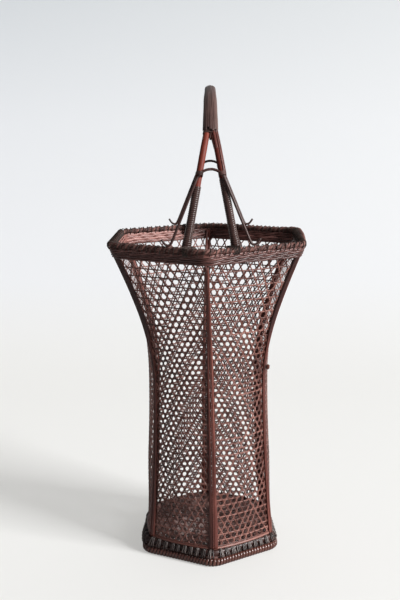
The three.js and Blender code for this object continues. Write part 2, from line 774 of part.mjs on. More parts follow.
// Half of a hoop in its own upright plane, as [sideways, level] pairs from the crown to the hooked tip
function halfHoop() {
  const footLevel = BRAID_TOP + GAP + HOOP_RADIUS + HOOK_DROP;
  const crownLevel = HOOP_TOP - HOOP_RADIUS - HOOP_CROWN_RADIUS;
  const rise = crownLevel - footLevel;
  const lean = Math.atan2(HOOP_FOOT_REACH - HOOP_CROWN_RADIUS, rise);
  const points = [];
  for (let step = 0; step <= HOOP_CROWN_STEPS; step += 1) {
    const angle = (step / HOOP_CROWN_STEPS) * (Math.PI / 2 - lean);
    points.push([HOOP_CROWN_RADIUS * Math.sin(angle), crownLevel + HOOP_CROWN_RADIUS * Math.cos(angle)]);
  }
  const [legTop, legTopLevel] = points[points.length - 1];
  for (let step = 1; step <= HOOP_LEG_STEPS; step += 1) {
    const share = step / HOOP_LEG_STEPS;
    points.push([
      THREE.MathUtils.lerp(legTop, HOOP_FOOT_REACH, share),
      THREE.MathUtils.lerp(legTopLevel, footLevel, share),
    ]);
  }
  for (let step = 1; step <= HOOK_STEPS; step += 1) {
    const share = step / HOOK_STEPS;
    const dip = Math.sin(Math.min(share * 2, 1) * Math.PI) * HOOK_DROP;
    points.push([HOOP_FOOT_REACH + HOOK_REACH * share, footLevel - dip + HOOK_RISE * share ** 3]);
  }
  return points;
}

// Depth of a hoop at a point: against the leg while they are side by side, and else on the
// straight line from the leg to the middle of the braid
function hoopDepth(end, hand, sideways, level) {
  const legAt = (height) => {
    const [low, high] = legPath({ hand, end }, height - HOOP_RADIUS, height + HOOP_RADIUS);
    const lean = Math.atan2(Math.abs(low.y - high.y), high.z - low.z);
    const reach = (wrapRadiusAt(height) + GAP + HOOP_RADIUS) / Math.cos(lean);
    return { depth: Math.abs(low.y + high.y) / 2, reach };
  };
  const leaving = HOOP_TOP - HOOP_CROWN_RADIUS;
  const top = legAt(leaving);
  const onBraid = seatDepth(HOOP_FOOT_REACH, hand, end) + ROD_SEAT / FACE_COS;
  const share = THREE.MathUtils.clamp((level - BRAID_TOP) / (leaving - BRAID_TOP), 0, 1);
  const straight = THREE.MathUtils.lerp(onBraid, top.depth + top.reach, share);
  const { depth, reach } = legAt(level);
  const beside = Math.max(sideways - rodSpacingAt(level), 0);
  const against = depth + Math.sqrt(Math.max(reach ** 2 - beside ** 2, 0));
  if (level > leaving) {
    return against;
  }
  return beside < reach ? Math.max(straight, against) : straight;
}

function hoopPath(end) {
  const half = halfHoop();
  const place = (hand) => ([sideways, level]) => {
    const depth = hoopDepth(end, hand, sideways, level);
    return new THREE.Vector3(HANDLE_SHIFT + hand * sideways, end * depth, level);
  };
  const left = half.slice(1).reverse().map(place(-1));
  return [...left, ...half.map(place(1))];
}

const ENDS = [{ name: "front", end: -1 }, { name: "back", end: 1 }];

function addHoops() {
  ENDS.forEach(({ name, end }) => {
    const path = hoopPath(end);
    const radius = (step) => {
      const toTip = Math.min(step, path.length - 1 - step) / HOOK_STEPS;
      return THREE.MathUtils.lerp(HOOP_TIP_RADIUS, HOOP_RADIUS, Math.min(toTip, 1));
    };
    const rings = ringsAlong(path, (step) => roundSection(radius(step), HOOP_SIDES), IN_DEPTH);
    addPiece(`hoop_${name}`, loft(rings), BAMBOO_DARK);
  });
}

// A short oval sleeve around rod and hoop at each of their four crossings
function addHoopTies() {
  const half = halfHoop();
  const past = half.findIndex(([sideways, level]) => sideways > rodSpacingAt(level));
  const [near, far] = [half[past - 1], half[past]];
  const miss = ([sideways, level]) => sideways - rodSpacingAt(level);
  const level = THREE.MathUtils.lerp(near[1], far[1], miss(near) / (miss(near) - miss(far)));
  LEGS.forEach((leg) => {
    const rods = legPath(leg, level - TIE_LENGTH / 2, level + TIE_LENGTH / 2);
    const ends = [rods[0], rods[rods.length - 1]];
    const spread = wrapRadiusAt(level) + GAP + HOOP_RADIUS;
    const path = ends.map((p) => p.clone().addScaledVector(IN_DEPTH, (leg.end * spread) / 2));
    const inside = aroundRound(wrapRadiusAt(level) + GAP, 2 * (GRIP_SIDES - 1));
    const oval = (radius) => ringsAlong(path, () => pairSection(spread / 2, radius), IN_DEPTH);
    const [outer, inner] = [oval(inside + TIE_THICKNESS), oval(inside)];
    addPiece(`hoop_tie_${leg.name}`, sleeve(outer, inner), RATTAN_BROWN);
  });
}

// Peg knotted on the outer edge of the right front post
function addPeg() {
  const corner = 1;
  const rings = [-0.5, -0.3, 0.3, 0.5].map((share) => {
    const level = PEG_LEVEL + share * PEG_LENGTH;
    const radius = (PEG_WIDTH / 2) * (Math.abs(share) < 0.4 ? 1 : 0.5);
    const outward = direction(cornerAngle(corner, level));
    const clear = OUTER_SEAT + POST_THICKNESS + GAP * FACE_COS;
    const centre = cornerPoint(corner, level, clear).addScaledVector(outward, PEG_WIDTH / 2);
    const across = new THREE.Vector3(-outward.y, outward.x, 0);
    return roundSection(radius, ROD_SIDES).map(([along, out]) =>
      centre.clone().addScaledVector(across, along).addScaledVector(outward, out));
  });
  addPiece("post_peg", loft(rings), RATTAN_BLACK);
}

addFoot();
addFloor();
addWalls();
addPosts();
addLiners();
addRim();
addRods();
addGrip();
addLegWraps();
addRimLashings();
addHoops();
addHoopTies();
addPeg();

export default basket;
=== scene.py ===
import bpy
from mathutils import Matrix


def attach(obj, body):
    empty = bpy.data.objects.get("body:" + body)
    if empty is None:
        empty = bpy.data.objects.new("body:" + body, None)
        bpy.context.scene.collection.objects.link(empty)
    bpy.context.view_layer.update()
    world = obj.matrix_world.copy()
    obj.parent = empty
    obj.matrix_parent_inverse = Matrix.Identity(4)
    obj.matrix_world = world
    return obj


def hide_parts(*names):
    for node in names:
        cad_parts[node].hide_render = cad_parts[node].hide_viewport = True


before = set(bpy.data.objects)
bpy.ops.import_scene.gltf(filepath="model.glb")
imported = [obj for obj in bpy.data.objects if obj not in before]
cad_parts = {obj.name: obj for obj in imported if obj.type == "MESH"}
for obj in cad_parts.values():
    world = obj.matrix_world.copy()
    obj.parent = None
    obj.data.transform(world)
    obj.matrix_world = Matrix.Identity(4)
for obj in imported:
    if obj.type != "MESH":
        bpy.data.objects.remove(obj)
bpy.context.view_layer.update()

import math
import bpy
import numpy as np
from mathutils import Matrix, Vector

# Sizes in millimetres, in the CAD model's frame
MM = 0.001
GAP = 0.3

# Body, as in the CAD model
BASE_RADIUS = 76.3
WAIST_RADIUS = 67.0
MOUTH_RADIUS = 113.5
WAIST_LEVEL = 190.0
MOUTH_LEVEL = 341.0
BODY_CURVE = 1.94
FLARE_BEND = 92.0
FOOT_TURN = math.radians(3.4)
MOUTH_TURN = math.radians(-0.8)
TWIST_CURVE = 2.1
WALL_BOTTOM = 18.6
BAND_BOTTOM = MOUTH_LEVEL - 10.6
BRAID_BOTTOM = MOUTH_LEVEL + 0.3
BRAID_TOP = BRAID_BOTTOM + 5.4
FOOT_ROUNDNESS = 0.37
BODY_ROUNDNESS = 0.81
ROUND_LEVEL = WALL_BOTTOM + 0.53 * (WAIST_LEVEL - WALL_BOTTOM)
FLAT_LEVEL = WAIST_LEVEL + 0.75 * (BAND_BOTTOM - WAIST_LEVEL)
OUTER_SEAT = 0.9

# Foot and floor, as in the CAD model
FOOT_SPREAD = 5.2
FLOOR_TOP = 20.8

# Handle, as in the CAD model
HANDLE_TOP = 504.0
HANDLE_SHIFT = 4.0
ROD_RADIUS = 3.4
ROD_TOP_RADIUS = 2.6
ROD_SPLAY = 0.186
ROD_SEAT = 8.0
ROD_FOOT_LEVEL = BRAID_TOP - 9.0
ARCH_RISE = HANDLE_TOP - 1.2 - ROD_TOP_RADIUS - BRAID_TOP
GRIP_END_SHARE = 0.716
HOOP_RADIUS = 1.4

FACE_TURN = math.pi / 6
FACE_COS = math.cos(FACE_TURN)
WALL_NAMES = ["front_right", "right", "back_right", "back_left", "left", "front_left"]
CORNER_NAMES = ["front", "right_front", "right_back", "back", "left_back", "left_front"]
HANDS = ((-1, "left"), (1, "right"))
ENDS = ((-1, "front"), (1, "back"))
LEGS = [(hand, end, f"{end_name}_{hand_name}") for hand, hand_name in HANDS for end, end_name in ENDS]
SIDEWAYS = (1.0, 0, 0)

rng = np.random.default_rng(7)


# Shape of the body

def smooth(value, low, high):
    """A soft step from 0 at low to 1 at high."""
    share = np.clip((np.asarray(value, float) - low) / (high - low), 0, 1)
    return share * share * (3 - 2 * share)


def unit(vectors):
    return vectors / np.maximum(np.linalg.norm(vectors, axis=-1, keepdims=True), 1e-12)


def radius_at(level):
    """Radius of the body's corners at a level."""
    level = np.asarray(level, float)
    low = WAIST_RADIUS + (BASE_RADIUS - WAIST_RADIUS) * (
        np.clip(WAIST_LEVEL - level, 0, None) / (WAIST_LEVEL - WALL_BOTTOM)
    ) ** BODY_CURVE
    swing = np.hypot(np.clip(level - WAIST_LEVEL, 0, None), FLARE_BEND) - FLARE_BEND
    full = math.hypot(MOUTH_LEVEL - WAIST_LEVEL, FLARE_BEND) - FLARE_BEND
    high = WAIST_RADIUS + (MOUTH_RADIUS - WAIST_RADIUS) * swing / full
    return np.where(level < WAIST_LEVEL, low, high)


def turn_at(level):
    """How far the body is twisted at a level."""
    share = np.clip((np.asarray(level, float) - WALL_BOTTOM) / (MOUTH_LEVEL - WALL_BOTTOM), 0, 1)
    return FOOT_TURN + (MOUTH_TURN - FOOT_TURN) * share ** TWIST_CURVE


def bow_at(level):
    """How far a wall bows out at its middle."""
    rising = smooth(level, WALL_BOTTOM, ROUND_LEVEL)
    fading = smooth(level, WAIST_LEVEL, FLAT_LEVEL)
    roundness = (FOOT_ROUNDNESS + (BODY_ROUNDNESS - FOOT_ROUNDNESS) * rising) * (1 - fading)
    return radius_at(level) * (1 - FACE_COS) * roundness


def direction(angle):
    """The level direction at an angle from the front."""
    angle = np.asarray(angle, float)
    return np.stack([np.sin(angle), -np.cos(angle), np.zeros_like(angle)], -1)


def corner_angle(corner):
    return corner * 2 * FACE_TURN


def wall_points(side, along, level, offset):
    """Points on a wall, and the directions outwards there."""
    along, level, offset = np.broadcast_arrays(*(np.asarray(v, float) for v in (along, level, offset)))
    angle = corner_angle(side + 0.5) + turn_at(level)
    share = along / (radius_at(level) / 2)

    def depth(height):
        return radius_at(height) * FACE_COS + bow_at(height) * (1 - share ** 2)

    points = direction(angle) * (depth(level) + offset)[..., None]
    points = points + direction(angle + math.pi / 2) * along[..., None]
    points[..., 2] = level
    slope = depth(level + 0.5) - depth(level - 0.5)
    lean = 2 * bow_at(level) * share / (radius_at(level) / 2)
    outs = direction(angle) + direction(angle + math.pi / 2) * lean[..., None]
    outs[..., 2] = -slope
    return points, unit(outs)


# Meshes made of swept strands

# How far, in mm, the grain moves along from the darkest strand to the lightest
GRAIN_SHIFT = 97


def lengths_along(points):
    """The length so far at each point of a line."""
    return np.concatenate([[0], np.cumsum(np.linalg.norm(np.diff(points, axis=0), axis=1))])


def rows_at(where, places, rows):
    """Rows that belong to rising places, worked out for other places."""
    return np.stack([np.interp(where, places, column) for column in rows.T], -1)


def added(name, data):
    """A new object of the scene."""
    made = bpy.data.objects.new(name, data)
    bpy.context.scene.collection.objects.link(made)
    return made


class Bundle:
    """Gathers swept strands, which become one mesh."""

    def __init__(self):
        self.points, self.quads, self.marks, self.count = [], [], [], 0

    def sweep(self, centres, outs, section, closed=False, tone=None):
        """Sweeps a section of [sideways, outwards] pairs along a line of centres.

        The tone is dark at 0 and light at 1, for the strand or for each centre, and random if left out."""
        centres = np.asarray(centres, float)
        steps, corners = len(centres), np.shape(section)[-2]
        if closed:
            ahead, behind = np.roll(centres, -1, 0), np.roll(centres, 1, 0)
        else:
            ahead = np.vstack([centres[1:], centres[-1:]])
            behind = np.vstack([centres[:1], centres[:-1]])
        along = unit(ahead - behind)
        sides = unit(np.cross(outs, along))
        ups = np.cross(along, sides)
        section = np.broadcast_to(section, (steps, corners, 2))
        rings = centres[:, None] + sides[:, None] * section[..., :1] + ups[:, None] * section[..., 1:]
        step = np.arange(steps if closed else steps - 1)[:, None]
        ring, following = step * corners, (step + 1) % steps * corners
        near = np.arange(corners)[None, :]
        far = (near + 1) % corners
        skin = np.stack([ring + near, ring + far, following + far, following + near], -1)
        quads = [skin.reshape(-1, 4)]
        if not closed:
            half = np.arange(corners // 2 - 1)
            cap = np.stack([half, half + 1, corners - 2 - half, corners - 1 - half], -1)
            quads += [cap[:, ::-1], cap + (steps - 1) * corners]
        tone = np.broadcast_to(rng.random() if tone is None else tone, steps)
        mark = np.zeros((steps, corners, 3))
        mark[..., 0] = (lengths_along(centres) + GRAIN_SHIFT * tone[0])[:, None]
        mark[..., 1] = section[..., 0]
        mark[..., 2] = tone[:, None]
        self.points.append(rings.reshape(-1, 3))
        self.quads.append(np.vstack(quads) + self.count)
        self.marks.append(mark.reshape(-1, 3))
        self.count += steps * corners

    def build(self, name, material, replaced=()):
        """Makes the strands one piece, in place of the CAD nodes that it replaces."""
        points = np.vstack(self.points) * MM
        quads = np.vstack(self.quads)
        mesh = bpy.data.meshes.new(name)
        mesh.vertices.add(len(points))
        mesh.vertices.foreach_set("co", points.ravel())
        mesh.loops.add(quads.size)
        mesh.loops.foreach_set("vertex_index", quads.ravel())
        mesh.polygons.add(len(quads))
        mesh.polygons.foreach_set("loop_start", np.arange(len(quads)) * 4)
        mesh.polygons.foreach_set("loop_total", np.full(len(quads), 4))
        mesh.update(calc_edges=True)
        mesh.validate()
        mark = mesh.attributes.new("strand", "FLOAT_VECTOR", "POINT")
        mark.data.foreach_set("vector", np.vstack(self.marks).ravel())
        mesh.shade_smooth()
        mesh.materials.append(material)
        piece = added(name, mesh)
        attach(piece, "root")
        if replaced:
            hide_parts(*replaced)


def flat(width, thickness):
    """Section of a split strand: flat inside, crowned outside."""
    side, top = width / 2, thickness / 2
    shoulder, crown = top * 0.4, side * 0.5
    return [(-side, -top), (side, -top), (side, shoulder), (crown, top), (-crown, top), (-side, shoulder)]


def scaled(section, wide, thick=1.0):
    """The section at every point of a line, widened and thickened by the factors there."""
    wide, thick = np.broadcast_arrays(wide, thick)
    return np.asarray(section)[None] * np.stack([wide, thick], -1)[:, None]


def round_section(radius, sides, squash=1.0):
    turn = (np.arange(sides) + 0.5) * 2 * math.pi / sides
    return np.stack([radius * np.cos(turn), radius * squash * np.sin(turn)], -1)


def wind(bundle, path, across, wide, high, pitch, section, per_turn=18, groove=0.0, tone=None):
    """Winds a strand round a path. The oval is wide along `across` and high square to it."""
    length = lengths_along(path)
    count = max(2, int(length[-1] / pitch * per_turn))
    where = np.linspace(0, length[-1], count)
    fine = rows_at(where, length, path)
    wide = np.interp(where, length, np.broadcast_to(wide, len(path)))
    high = np.interp(where, length, np.broadcast_to(high, len(path)))
    along = unit(np.gradient(fine, axis=0))
    across = unit(across - along * (along @ across)[:, None])
    depth = np.cross(along, across)
    spin = np.arange(count) * 2 * math.pi / per_turn
    aside, ahead = np.cos(spin), np.sin(spin)
    flank = np.clip(wide - high, 0, None) * np.clip(aside * 1.8, -1, 1)
    dip = 1 - groove * np.exp(-((aside / 0.4) ** 2))
    arm = across * (flank + high * aside)[:, None] + depth * (high * ahead * dip)[:, None]
    facing = across * aside[:, None] + depth * ahead[:, None]
    bundle.sweep(fine + arm, unit(facing), section, tone=tone)


# Materials

# Where the dark, middle, light and pale colours stand on the scale of tones
COLOR_STOPS = (0.28, 0.5, 0.74, 0.95)
FIBRE_RANGE = (0.3, 0.7)


def node(tree, kind, inputs=(), **settings):
    """A shader node, with each input linked to a socket or set to a value."""
    made = tree.nodes.new(kind)
    for key, value in settings.items():
        setattr(made, key, value)
    for key, value in dict(inputs).items():
        if isinstance(value, bpy.types.NodeSocket):
            tree.links.new(value, made.inputs[key])
        else:
            made.inputs[key].default_value = value
    return made


def ramp(tree, source, stops):
    """A colour ramp over a source, with stops of (place, colour)."""
    made = node(tree, "ShaderNodeValToRGB", {0: source})
    elements = made.color_ramp.elements
    while len(elements) < len(stops):
        elements.new(0.5)
    for element, (place, color) in zip(elements, stops):
        element.position = place
        element.color = (*color, 1)
    return made.outputs[0]


def mapped(tree, source, *limits):
    """A source, taken from between the first two limits to between the last two."""
    return node(tree, "ShaderNodeMapRange", {0: source, **dict(enumerate(limits, 1))}).outputs[0]


def grain_place(tree, on_strand, streak):
    """Coordinates stretched along the fibres, and the tone, of a strand or of a CAD solid."""
    along, across = streak
    if on_strand:
        place = node(tree, "ShaderNodeAttribute", attribute_name="strand").outputs["Vector"]
        tone = node(tree, "ShaderNodeSeparateXYZ", {0: place}).outputs["Z"]
        scale = (along, across, 7.0)
    else:
        place = node(tree, "ShaderNodeMapping", {
            "Vector": node(tree, "ShaderNodeTexCoord").outputs["Object"],
            "Scale": (1 / MM, 1 / MM, 1 / MM),
        }).outputs[0]
        tone = node(tree, "ShaderNodeTexNoise", {"Vector": place, "Scale": 0.03}).outputs[0]
        scale = (across, across, along)
    return node(tree, "ShaderNodeMapping", {"Vector": place, "Scale": scale}).outputs[0], tone


def bamboo(name, *colors, rough=(0.3, 0.5), coat=0.2, on_strand=True, streak=(0.12, 1.6)):
    """Split bamboo or rattan: long fibres, darker and lighter strands, and a smoked lacquer."""
    material = bpy.data.materials.new(name)
    material.use_nodes = True
    tree = material.node_tree
    tree.nodes.clear()
    stretched, tone = grain_place(tree, on_strand, streak)
    fibre = node(tree, "ShaderNodeTexNoise", {
        "Vector": stretched, "Scale": 2.0, "Detail": 4.0, "Roughness": 0.65,
    }).outputs[0]
    drift = node(tree, "ShaderNodeTexNoise", {
        "Vector": node(tree, "ShaderNodeTexCoord").outputs["Object"], "Scale": 22.0, "Detail": 3.0,
    }).outputs[0]
    mixed = node(tree, "ShaderNodeMath", {0: fibre, 1: tone}, operation="ADD").outputs[0]
    mixed = node(tree, "ShaderNodeMath", {0: mixed, 1: drift}, operation="ADD").outputs[0]
    third = node(tree, "ShaderNodeMath", {0: mixed, 1: 1 / 3}, operation="MULTIPLY").outputs[0]
    bump = node(tree, "ShaderNodeBump", {"Height": fibre, "Strength": 0.25, "Distance": 0.3 * MM})
    shader = node(tree, "ShaderNodeBsdfPrincipled", {
        "Base Color": ramp(tree, third, list(zip(COLOR_STOPS, colors))),
        "Roughness": mapped(tree, fibre, *FIBRE_RANGE, *rough),
        "Normal": bump.outputs[0],
    })
    node(tree, "ShaderNodeOutputMaterial", {0: shader.outputs[0]})
    shader.inputs["Specular IOR Level"].default_value = 0.3
    shader.inputs["Coat Weight"].default_value = coat
    shader.inputs["Coat Roughness"].default_value = 0.25
    return material


strand_brown = bamboo("strand_brown", (0.04, 0.013, 0.01), (0.115, 0.04, 0.03), (0.31, 0.14, 0.112))
# The pale fourth colour is there for the painted glints on the floor strips.
floor_brown = bamboo(
    "floor_brown", (0.03, 0.011, 0.009), (0.085, 0.035, 0.028), (0.26, 0.14, 0.12), (0.66, 0.58, 0.56),
    rough=(0.35, 0.55), coat=0.15,
)
band_brown = bamboo(
    "band_brown", (0.03, 0.011, 0.009), (0.12, 0.045, 0.037), (0.36, 0.175, 0.15), streak=(0.06, 1.2),
)
bamboo_red = bamboo(
    "bamboo_red", (0.04, 0.005, 0.003), (0.125, 0.017, 0.008), (0.235, 0.04, 0.02),
    rough=(0.5, 0.68), coat=0.0, streak=(0.05, 0.9),
)
bamboo_dark = bamboo(
    "bamboo_dark", (0.02, 0.009, 0.008), (0.062, 0.025, 0.02), (0.165, 0.075, 0.062),
    rough=(0.35, 0.55), coat=0.15,
)
plait_brown = bamboo(
    "plait_brown", (0.022, 0.009, 0.008), (0.085, 0.034, 0.028), (0.24, 0.11, 0.09),
    rough=(0.5, 0.7), coat=0.0,
)
rattan_brown = bamboo(
    "rattan_brown", (0.018, 0.008, 0.007), (0.06, 0.029, 0.024), (0.22, 0.13, 0.115),
    rough=(0.3, 0.45), coat=0.4,
)
lashing_brown = bamboo(
    "lashing_brown", (0.01, 0.006, 0.005), (0.03, 0.018, 0.014), (0.1, 0.065, 0.052),
    rough=(0.45, 0.65), coat=0.0,
)
rattan_black = bamboo("rattan_black", (0.01, 0.005, 0.005), (0.042, 0.028, 0.025), (0.16, 0.13, 0.12))
post_red = bamboo(
    "post_bamboo", (0.032, 0.008, 0.006), (0.11, 0.029, 0.021), (0.27, 0.095, 0.074),
    rough=(0.35, 0.55), coat=0.12, streak=(0.05, 0.9),
)
peg_red = bamboo(
    "liner_bamboo", (0.035, 0.01, 0.007), (0.09, 0.024, 0.015), (0.2, 0.06, 0.04),
    rough=(0.28, 0.45), coat=0.3, on_strand=False, streak=(0.02, 0.9),
)
hoop_brown = bamboo(
    "hoop_bamboo", (0.018, 0.008, 0.007), (0.05, 0.017, 0.012), (0.11, 0.04, 0.03),
    rough=(0.22, 0.4), coat=0.5,
)
grip_brown = bamboo(
    "grip_rattan", (0.02, 0.011, 0.01), (0.07, 0.035, 0.03), (0.19, 0.115, 0.1),
    rough=(0.38, 0.55), coat=0.12,
)


# Open weave of the walls

COLUMNS = 10
STRAND_WIDTH = 1.34
STRAND_THICKNESS = 0.55
INTERLACE = 0.34
# Height of a row as a share of a column's width
BODY_ROW = 0.865
FLARE_ROW = 0.93
FLARE_ROW_RISE = 60
# The columns by the posts are narrower in the flare
SWELL = 0.06
SWELL_RISE = 80
# How far, in columns, a strand ends from the corner, and the step between its points
EDGE = 0.06
STEP = 0.25
# The walls that are seen along their strands have finer ones in the flare
FINE_WALLS = ("left", "right")
FINE_BY = 0.4
FINE_LEVELS = (190, 250)
# Level above the wall's foot and radius of the two strands along it
FOOT_STRANDS = ((-0.2, 1.3), (2.0, 0.7))


def row_table():
    """Levels of the rows, worked out from the pitch along the slope."""
    levels = [WALL_BOTTOM + 1.0]
    while levels[-1] < MOUTH_LEVEL:
        level = levels[-1]
        flare = np.clip((level - WAIST_LEVEL) / FLARE_ROW_RISE, 0, 1)
        slope = (radius_at(level + 1) - radius_at(level - 1)) / 2 * FACE_COS
        pitch = (BODY_ROW + (FLARE_ROW - BODY_ROW) * flare) * radius_at(level) / COLUMNS
        levels.append(level + float(pitch / math.hypot(1, float(slope))))
    return np.array(levels)


ROWS = row_table()
LAST_ROW = np.interp(BAND_BOTTOM + 4, ROWS, np.arange(len(ROWS)))


def level_of(row):
    row = np.asarray(row, float)
    below = ROWS[0] + row * (ROWS[1] - ROWS[0])
    return np.where(row < 0, below, np.interp(row, np.arange(len(ROWS)), ROWS))


def along_of(column, level):
    """Place on the wall of a column between 0 and COLUMNS."""
    share = np.asarray(column, float) * 2 / COLUMNS - 1
    half = radius_at(level) / 2
    lean = 2 * bow_at(level) / half
    share = share * (1 + lean ** 2 / 6 * (1 - share ** 2))
    swell = SWELL * np.clip((level - WAIST_LEVEL) / SWELL_RISE, 0, 1)
    return half * ((1 + swell) * share - swell * share ** 3)


def weave_strand(bundle, side, columns, level, lift):
    """One strand of a wall, which goes over the others where the lift is 1 and under them at -1."""
    finer = FINE_BY if WALL_NAMES[side] in FINE_WALLS else 0.0
    fine = 1 - finer * smooth(level, *FINE_LEVELS)
    points, outs = wall_points(side, along_of(columns, level), level, INTERLACE * fine * lift)
    bundle.sweep(points, outs, scaled(flat(STRAND_WIDTH, STRAND_THICKNESS), fine, fine))


def add_weave():
    """Strands in three directions: level ones, and slanting ones to the right and to the left."""
    for side, name in enumerate(WALL_NAMES):
        bundle = Bundle()
        for row in range(int(LAST_ROW) + 1):
            columns = np.arange(0, COLUMNS + 0.01, STEP)
            columns[0], columns[-1] = EDGE, COLUMNS - EDGE
            level = np.full(len(columns), float(level_of(row)))
            weave_strand(bundle, side, columns, level, np.cos(2 * math.pi * (columns - row / 2)))
        for hand in (1, -1):
            start = int(-COLUMNS - LAST_ROW) - 2
            for strand in range(start, -start):
                rows = np.arange(-STEP, LAST_ROW, STEP)
                columns = strand + (0 if hand > 0 else 0.5) + hand * rows / 2
                kept = (columns > EDGE) & (columns < COLUMNS - EDGE)
                if kept.sum() < 2:
                    continue
                rows, columns = rows[kept], columns[kept]
                weave_strand(bundle, side, columns, level_of(rows), -hand * np.cos(2 * math.pi * rows))
        along = np.linspace(-0.5, 0.5, 25) * float(radius_at(WALL_BOTTOM))
        for above, thick in FOOT_STRANDS:
            points, outs = wall_points(side, along, WALL_BOTTOM + above, 0.2)
            bundle.sweep(points, outs, round_section(thick, 8, 0.9))
        bundle.build("weave_" + name, strand_brown, ["wall_" + name])


# Posts and liners at the corners

POST_STEP = 3.0
POST_WIDTH = 4.2
POST_THICKNESS = 1.2
# How much narrower a post gets, and from which level to which
POST_NARROWING = ((1.4, 35, 90), (0.6, 90, 190))
POST_SHARE = {"right_front": 0.72}
# What the flare adds to a post's width, from which level to which
POST_FLARED = {"front": -0.8, "left_front": 2.9, "right_front": 2.9}
FLARED_LEVELS = (225, 260)
# How far a post reaches past the band's lower edge
POST_TUCK = {"left_front": 3.5, "right_front": 3.5}
RIDGE_RADIUS = 0.7
RIDGE_OFFSET = 1.5
STITCHED_BELOW = 190
STITCH_RADIUS = 0.34
STITCH_PITCH = 2.7
LINER_STRIPS = ((1.5, 1.5), (3.2, 1.3))
LINER_THICKNESS = 0.9
# The front liner is slimmer in the flare
SLIM_BY = 0.6
SLIM_LEVELS = (200, 255)


def post_tone(name, hand, level):
    """Tone of a post's strip: the front post is darker low down, and its strip on the front-left face is
    darker than the one on the front-right, a painted shade on the side away from the key light; the two
    beside it are darker in the flare.
    """
    if name == "front":
        # The front post's strip on the front-left face is darker: painted shade, away from the key light.
        return (0.0 if hand > 0 else 0.35) + 0.4 * smooth(level, 80, 170)
    if name in POST_TUCK:
        return 0.2 + 0.4 * rng.random() - 0.95 * smooth(level, *FLARED_LEVELS)
    return None


def post_width(name, level):
    wide = POST_WIDTH
    for narrower, low, high in POST_NARROWING:
        wide = wide - narrower * smooth(level, low, high)
    flared = POST_FLARED.get(name, 0.0) * smooth(level, *FLARED_LEVELS)
    return wide * POST_SHARE.get(name, 1.0) + flared


def add_posts():
    """Two thin strips that meet in a ridge, which is stitched with a fine cord low down."""
    for corner, name in enumerate(CORNER_NAMES):
        bundle = Bundle()
        level = np.arange(WALL_BOTTOM, BAND_BOTTOM + POST_TUCK.get(name, -GAP), POST_STEP)
        wide = post_width(name, level)
        for side, hand in ((corner - 1, 1), (corner, -1)):
            along = hand * (radius_at(level) / 2 - wide / 2 - 0.1)
            points, outs = wall_points(side, along, level, OUTER_SEAT + 0.5)
            section = scaled(flat(1.0, POST_THICKNESS), wide)
            bundle.sweep(points, outs, section, tone=post_tone(name, hand, level))
        angle = corner_angle(corner) + turn_at(level)
        ridge = direction(angle) * (radius_at(level) + RIDGE_OFFSET)[:, None]
        ridge[:, 2] = level
        bundle.sweep(ridge, direction(angle), round_section(RIDGE_RADIUS, 8, 0.7))
        around = RIDGE_RADIUS + 0.02
        wind(bundle, ridge[level < STITCHED_BELOW], SIDEWAYS, around, around, STITCH_PITCH,
             round_section(STITCH_RADIUS, 6), per_turn=10)
        bundle.build("post_strips_" + name, post_red, ["post_" + name])


def add_liners():
    """Slim splints that stiffen each corner from the inside, the back ones up to the rim."""
    for corner, name in enumerate(CORNER_NAMES):
        to_rim = name == "back"
        level = np.arange(WALL_BOTTOM, (MOUTH_LEVEL - 0.5) if to_rim else (BAND_BOTTOM - GAP), POST_STEP)
        inset = OUTER_SEAT + 0.5 + 1.9 * smooth(level, BAND_BOTTOM - 9, BAND_BOTTOM - 2) * to_rim
        slim = 1 - SLIM_BY * smooth(level, *SLIM_LEVELS) * (name == "front")
        bundle = Bundle()
        for side, hand in ((corner - 1, 1), (corner, -1)):
            for lane, wide in LINER_STRIPS:
                along = hand * (radius_at(level) / 2 - lane * slim - inset / 2)
                points, outs = wall_points(side, along, level, -inset)
                bundle.sweep(points, outs, scaled(flat(wide, LINER_THICKNESS), slim))
        bundle.build("liner_splints_" + name, post_red, ["liner_" + name])


# Rings round the basket

def ring_frame(radius, turn, fillet):
    """A six-sided ring with rounded corners: its points, directions outwards and lengths so far."""
    points, outs = [], []
    for corner in range(6):
        angle = corner_angle(corner) + turn
        centre = direction(angle) * (radius - fillet / FACE_COS)
        for bend in np.linspace(-FACE_TURN, FACE_TURN, 9):
            outs.append(direction(angle + bend))
            points.append(centre + outs[-1] * fillet)
    points, outs = np.array(points + points[:1]), np.array(outs + outs[:1])
    return points, outs, lengths_along(points)


def ring_points(ring, where):
    """Points on a ring at lengths from its start, and the directions outwards there."""
    points, outs, length = ring
    where = np.asarray(where, float) % length[-1]
    return rows_at(where, length, points), unit(rows_at(where, length, outs))


def ring_path(ring, count, level):
    """Evenly spaced points round a ring, and the directions outwards there."""
    path, outs = ring_points(ring, np.arange(count) / count * ring[2][-1])
    path[:, 2] = level
    return path, outs


def rounded(left, right, bottom, top, chamfer):
    """A chamfered box as a closed profile of [offset, level] pairs."""
    near, far, low, high = left + chamfer, right - chamfer, bottom + chamfer, top - chamfer
    return np.array([
        (near, bottom), (far, bottom), (right, low), (right, high),
        (far, top), (near, top), (left, high), (left, low),
    ])


def around_profile(profile, steps):
    """Evenly spaced points round a closed profile of [offset, level] pairs."""
    loop = np.vstack([profile, profile[:1]])
    reach = lengths_along(loop)
    return rows_at(np.arange(steps) / steps * reach[-1], reach, loop)


def facing_out(outs, around):
    """Directions away from the middle of a profile, at its points."""
    facing = outs * (around[:, 0] - around[:, 0].mean())[:, None]
    facing[:, 2] = around[:, 1] - around[:, 1].mean()
    return unit(facing)


def bulged(points, most):
    """Pushes the left of the foot outwards, where the lashing has worn loose, and its back inwards."""
    points[:, 0] -= most * smooth(-points[:, 0], 40, 72) * (1 - 1.6 * smooth(points[:, 1], -25, 25))
    return points


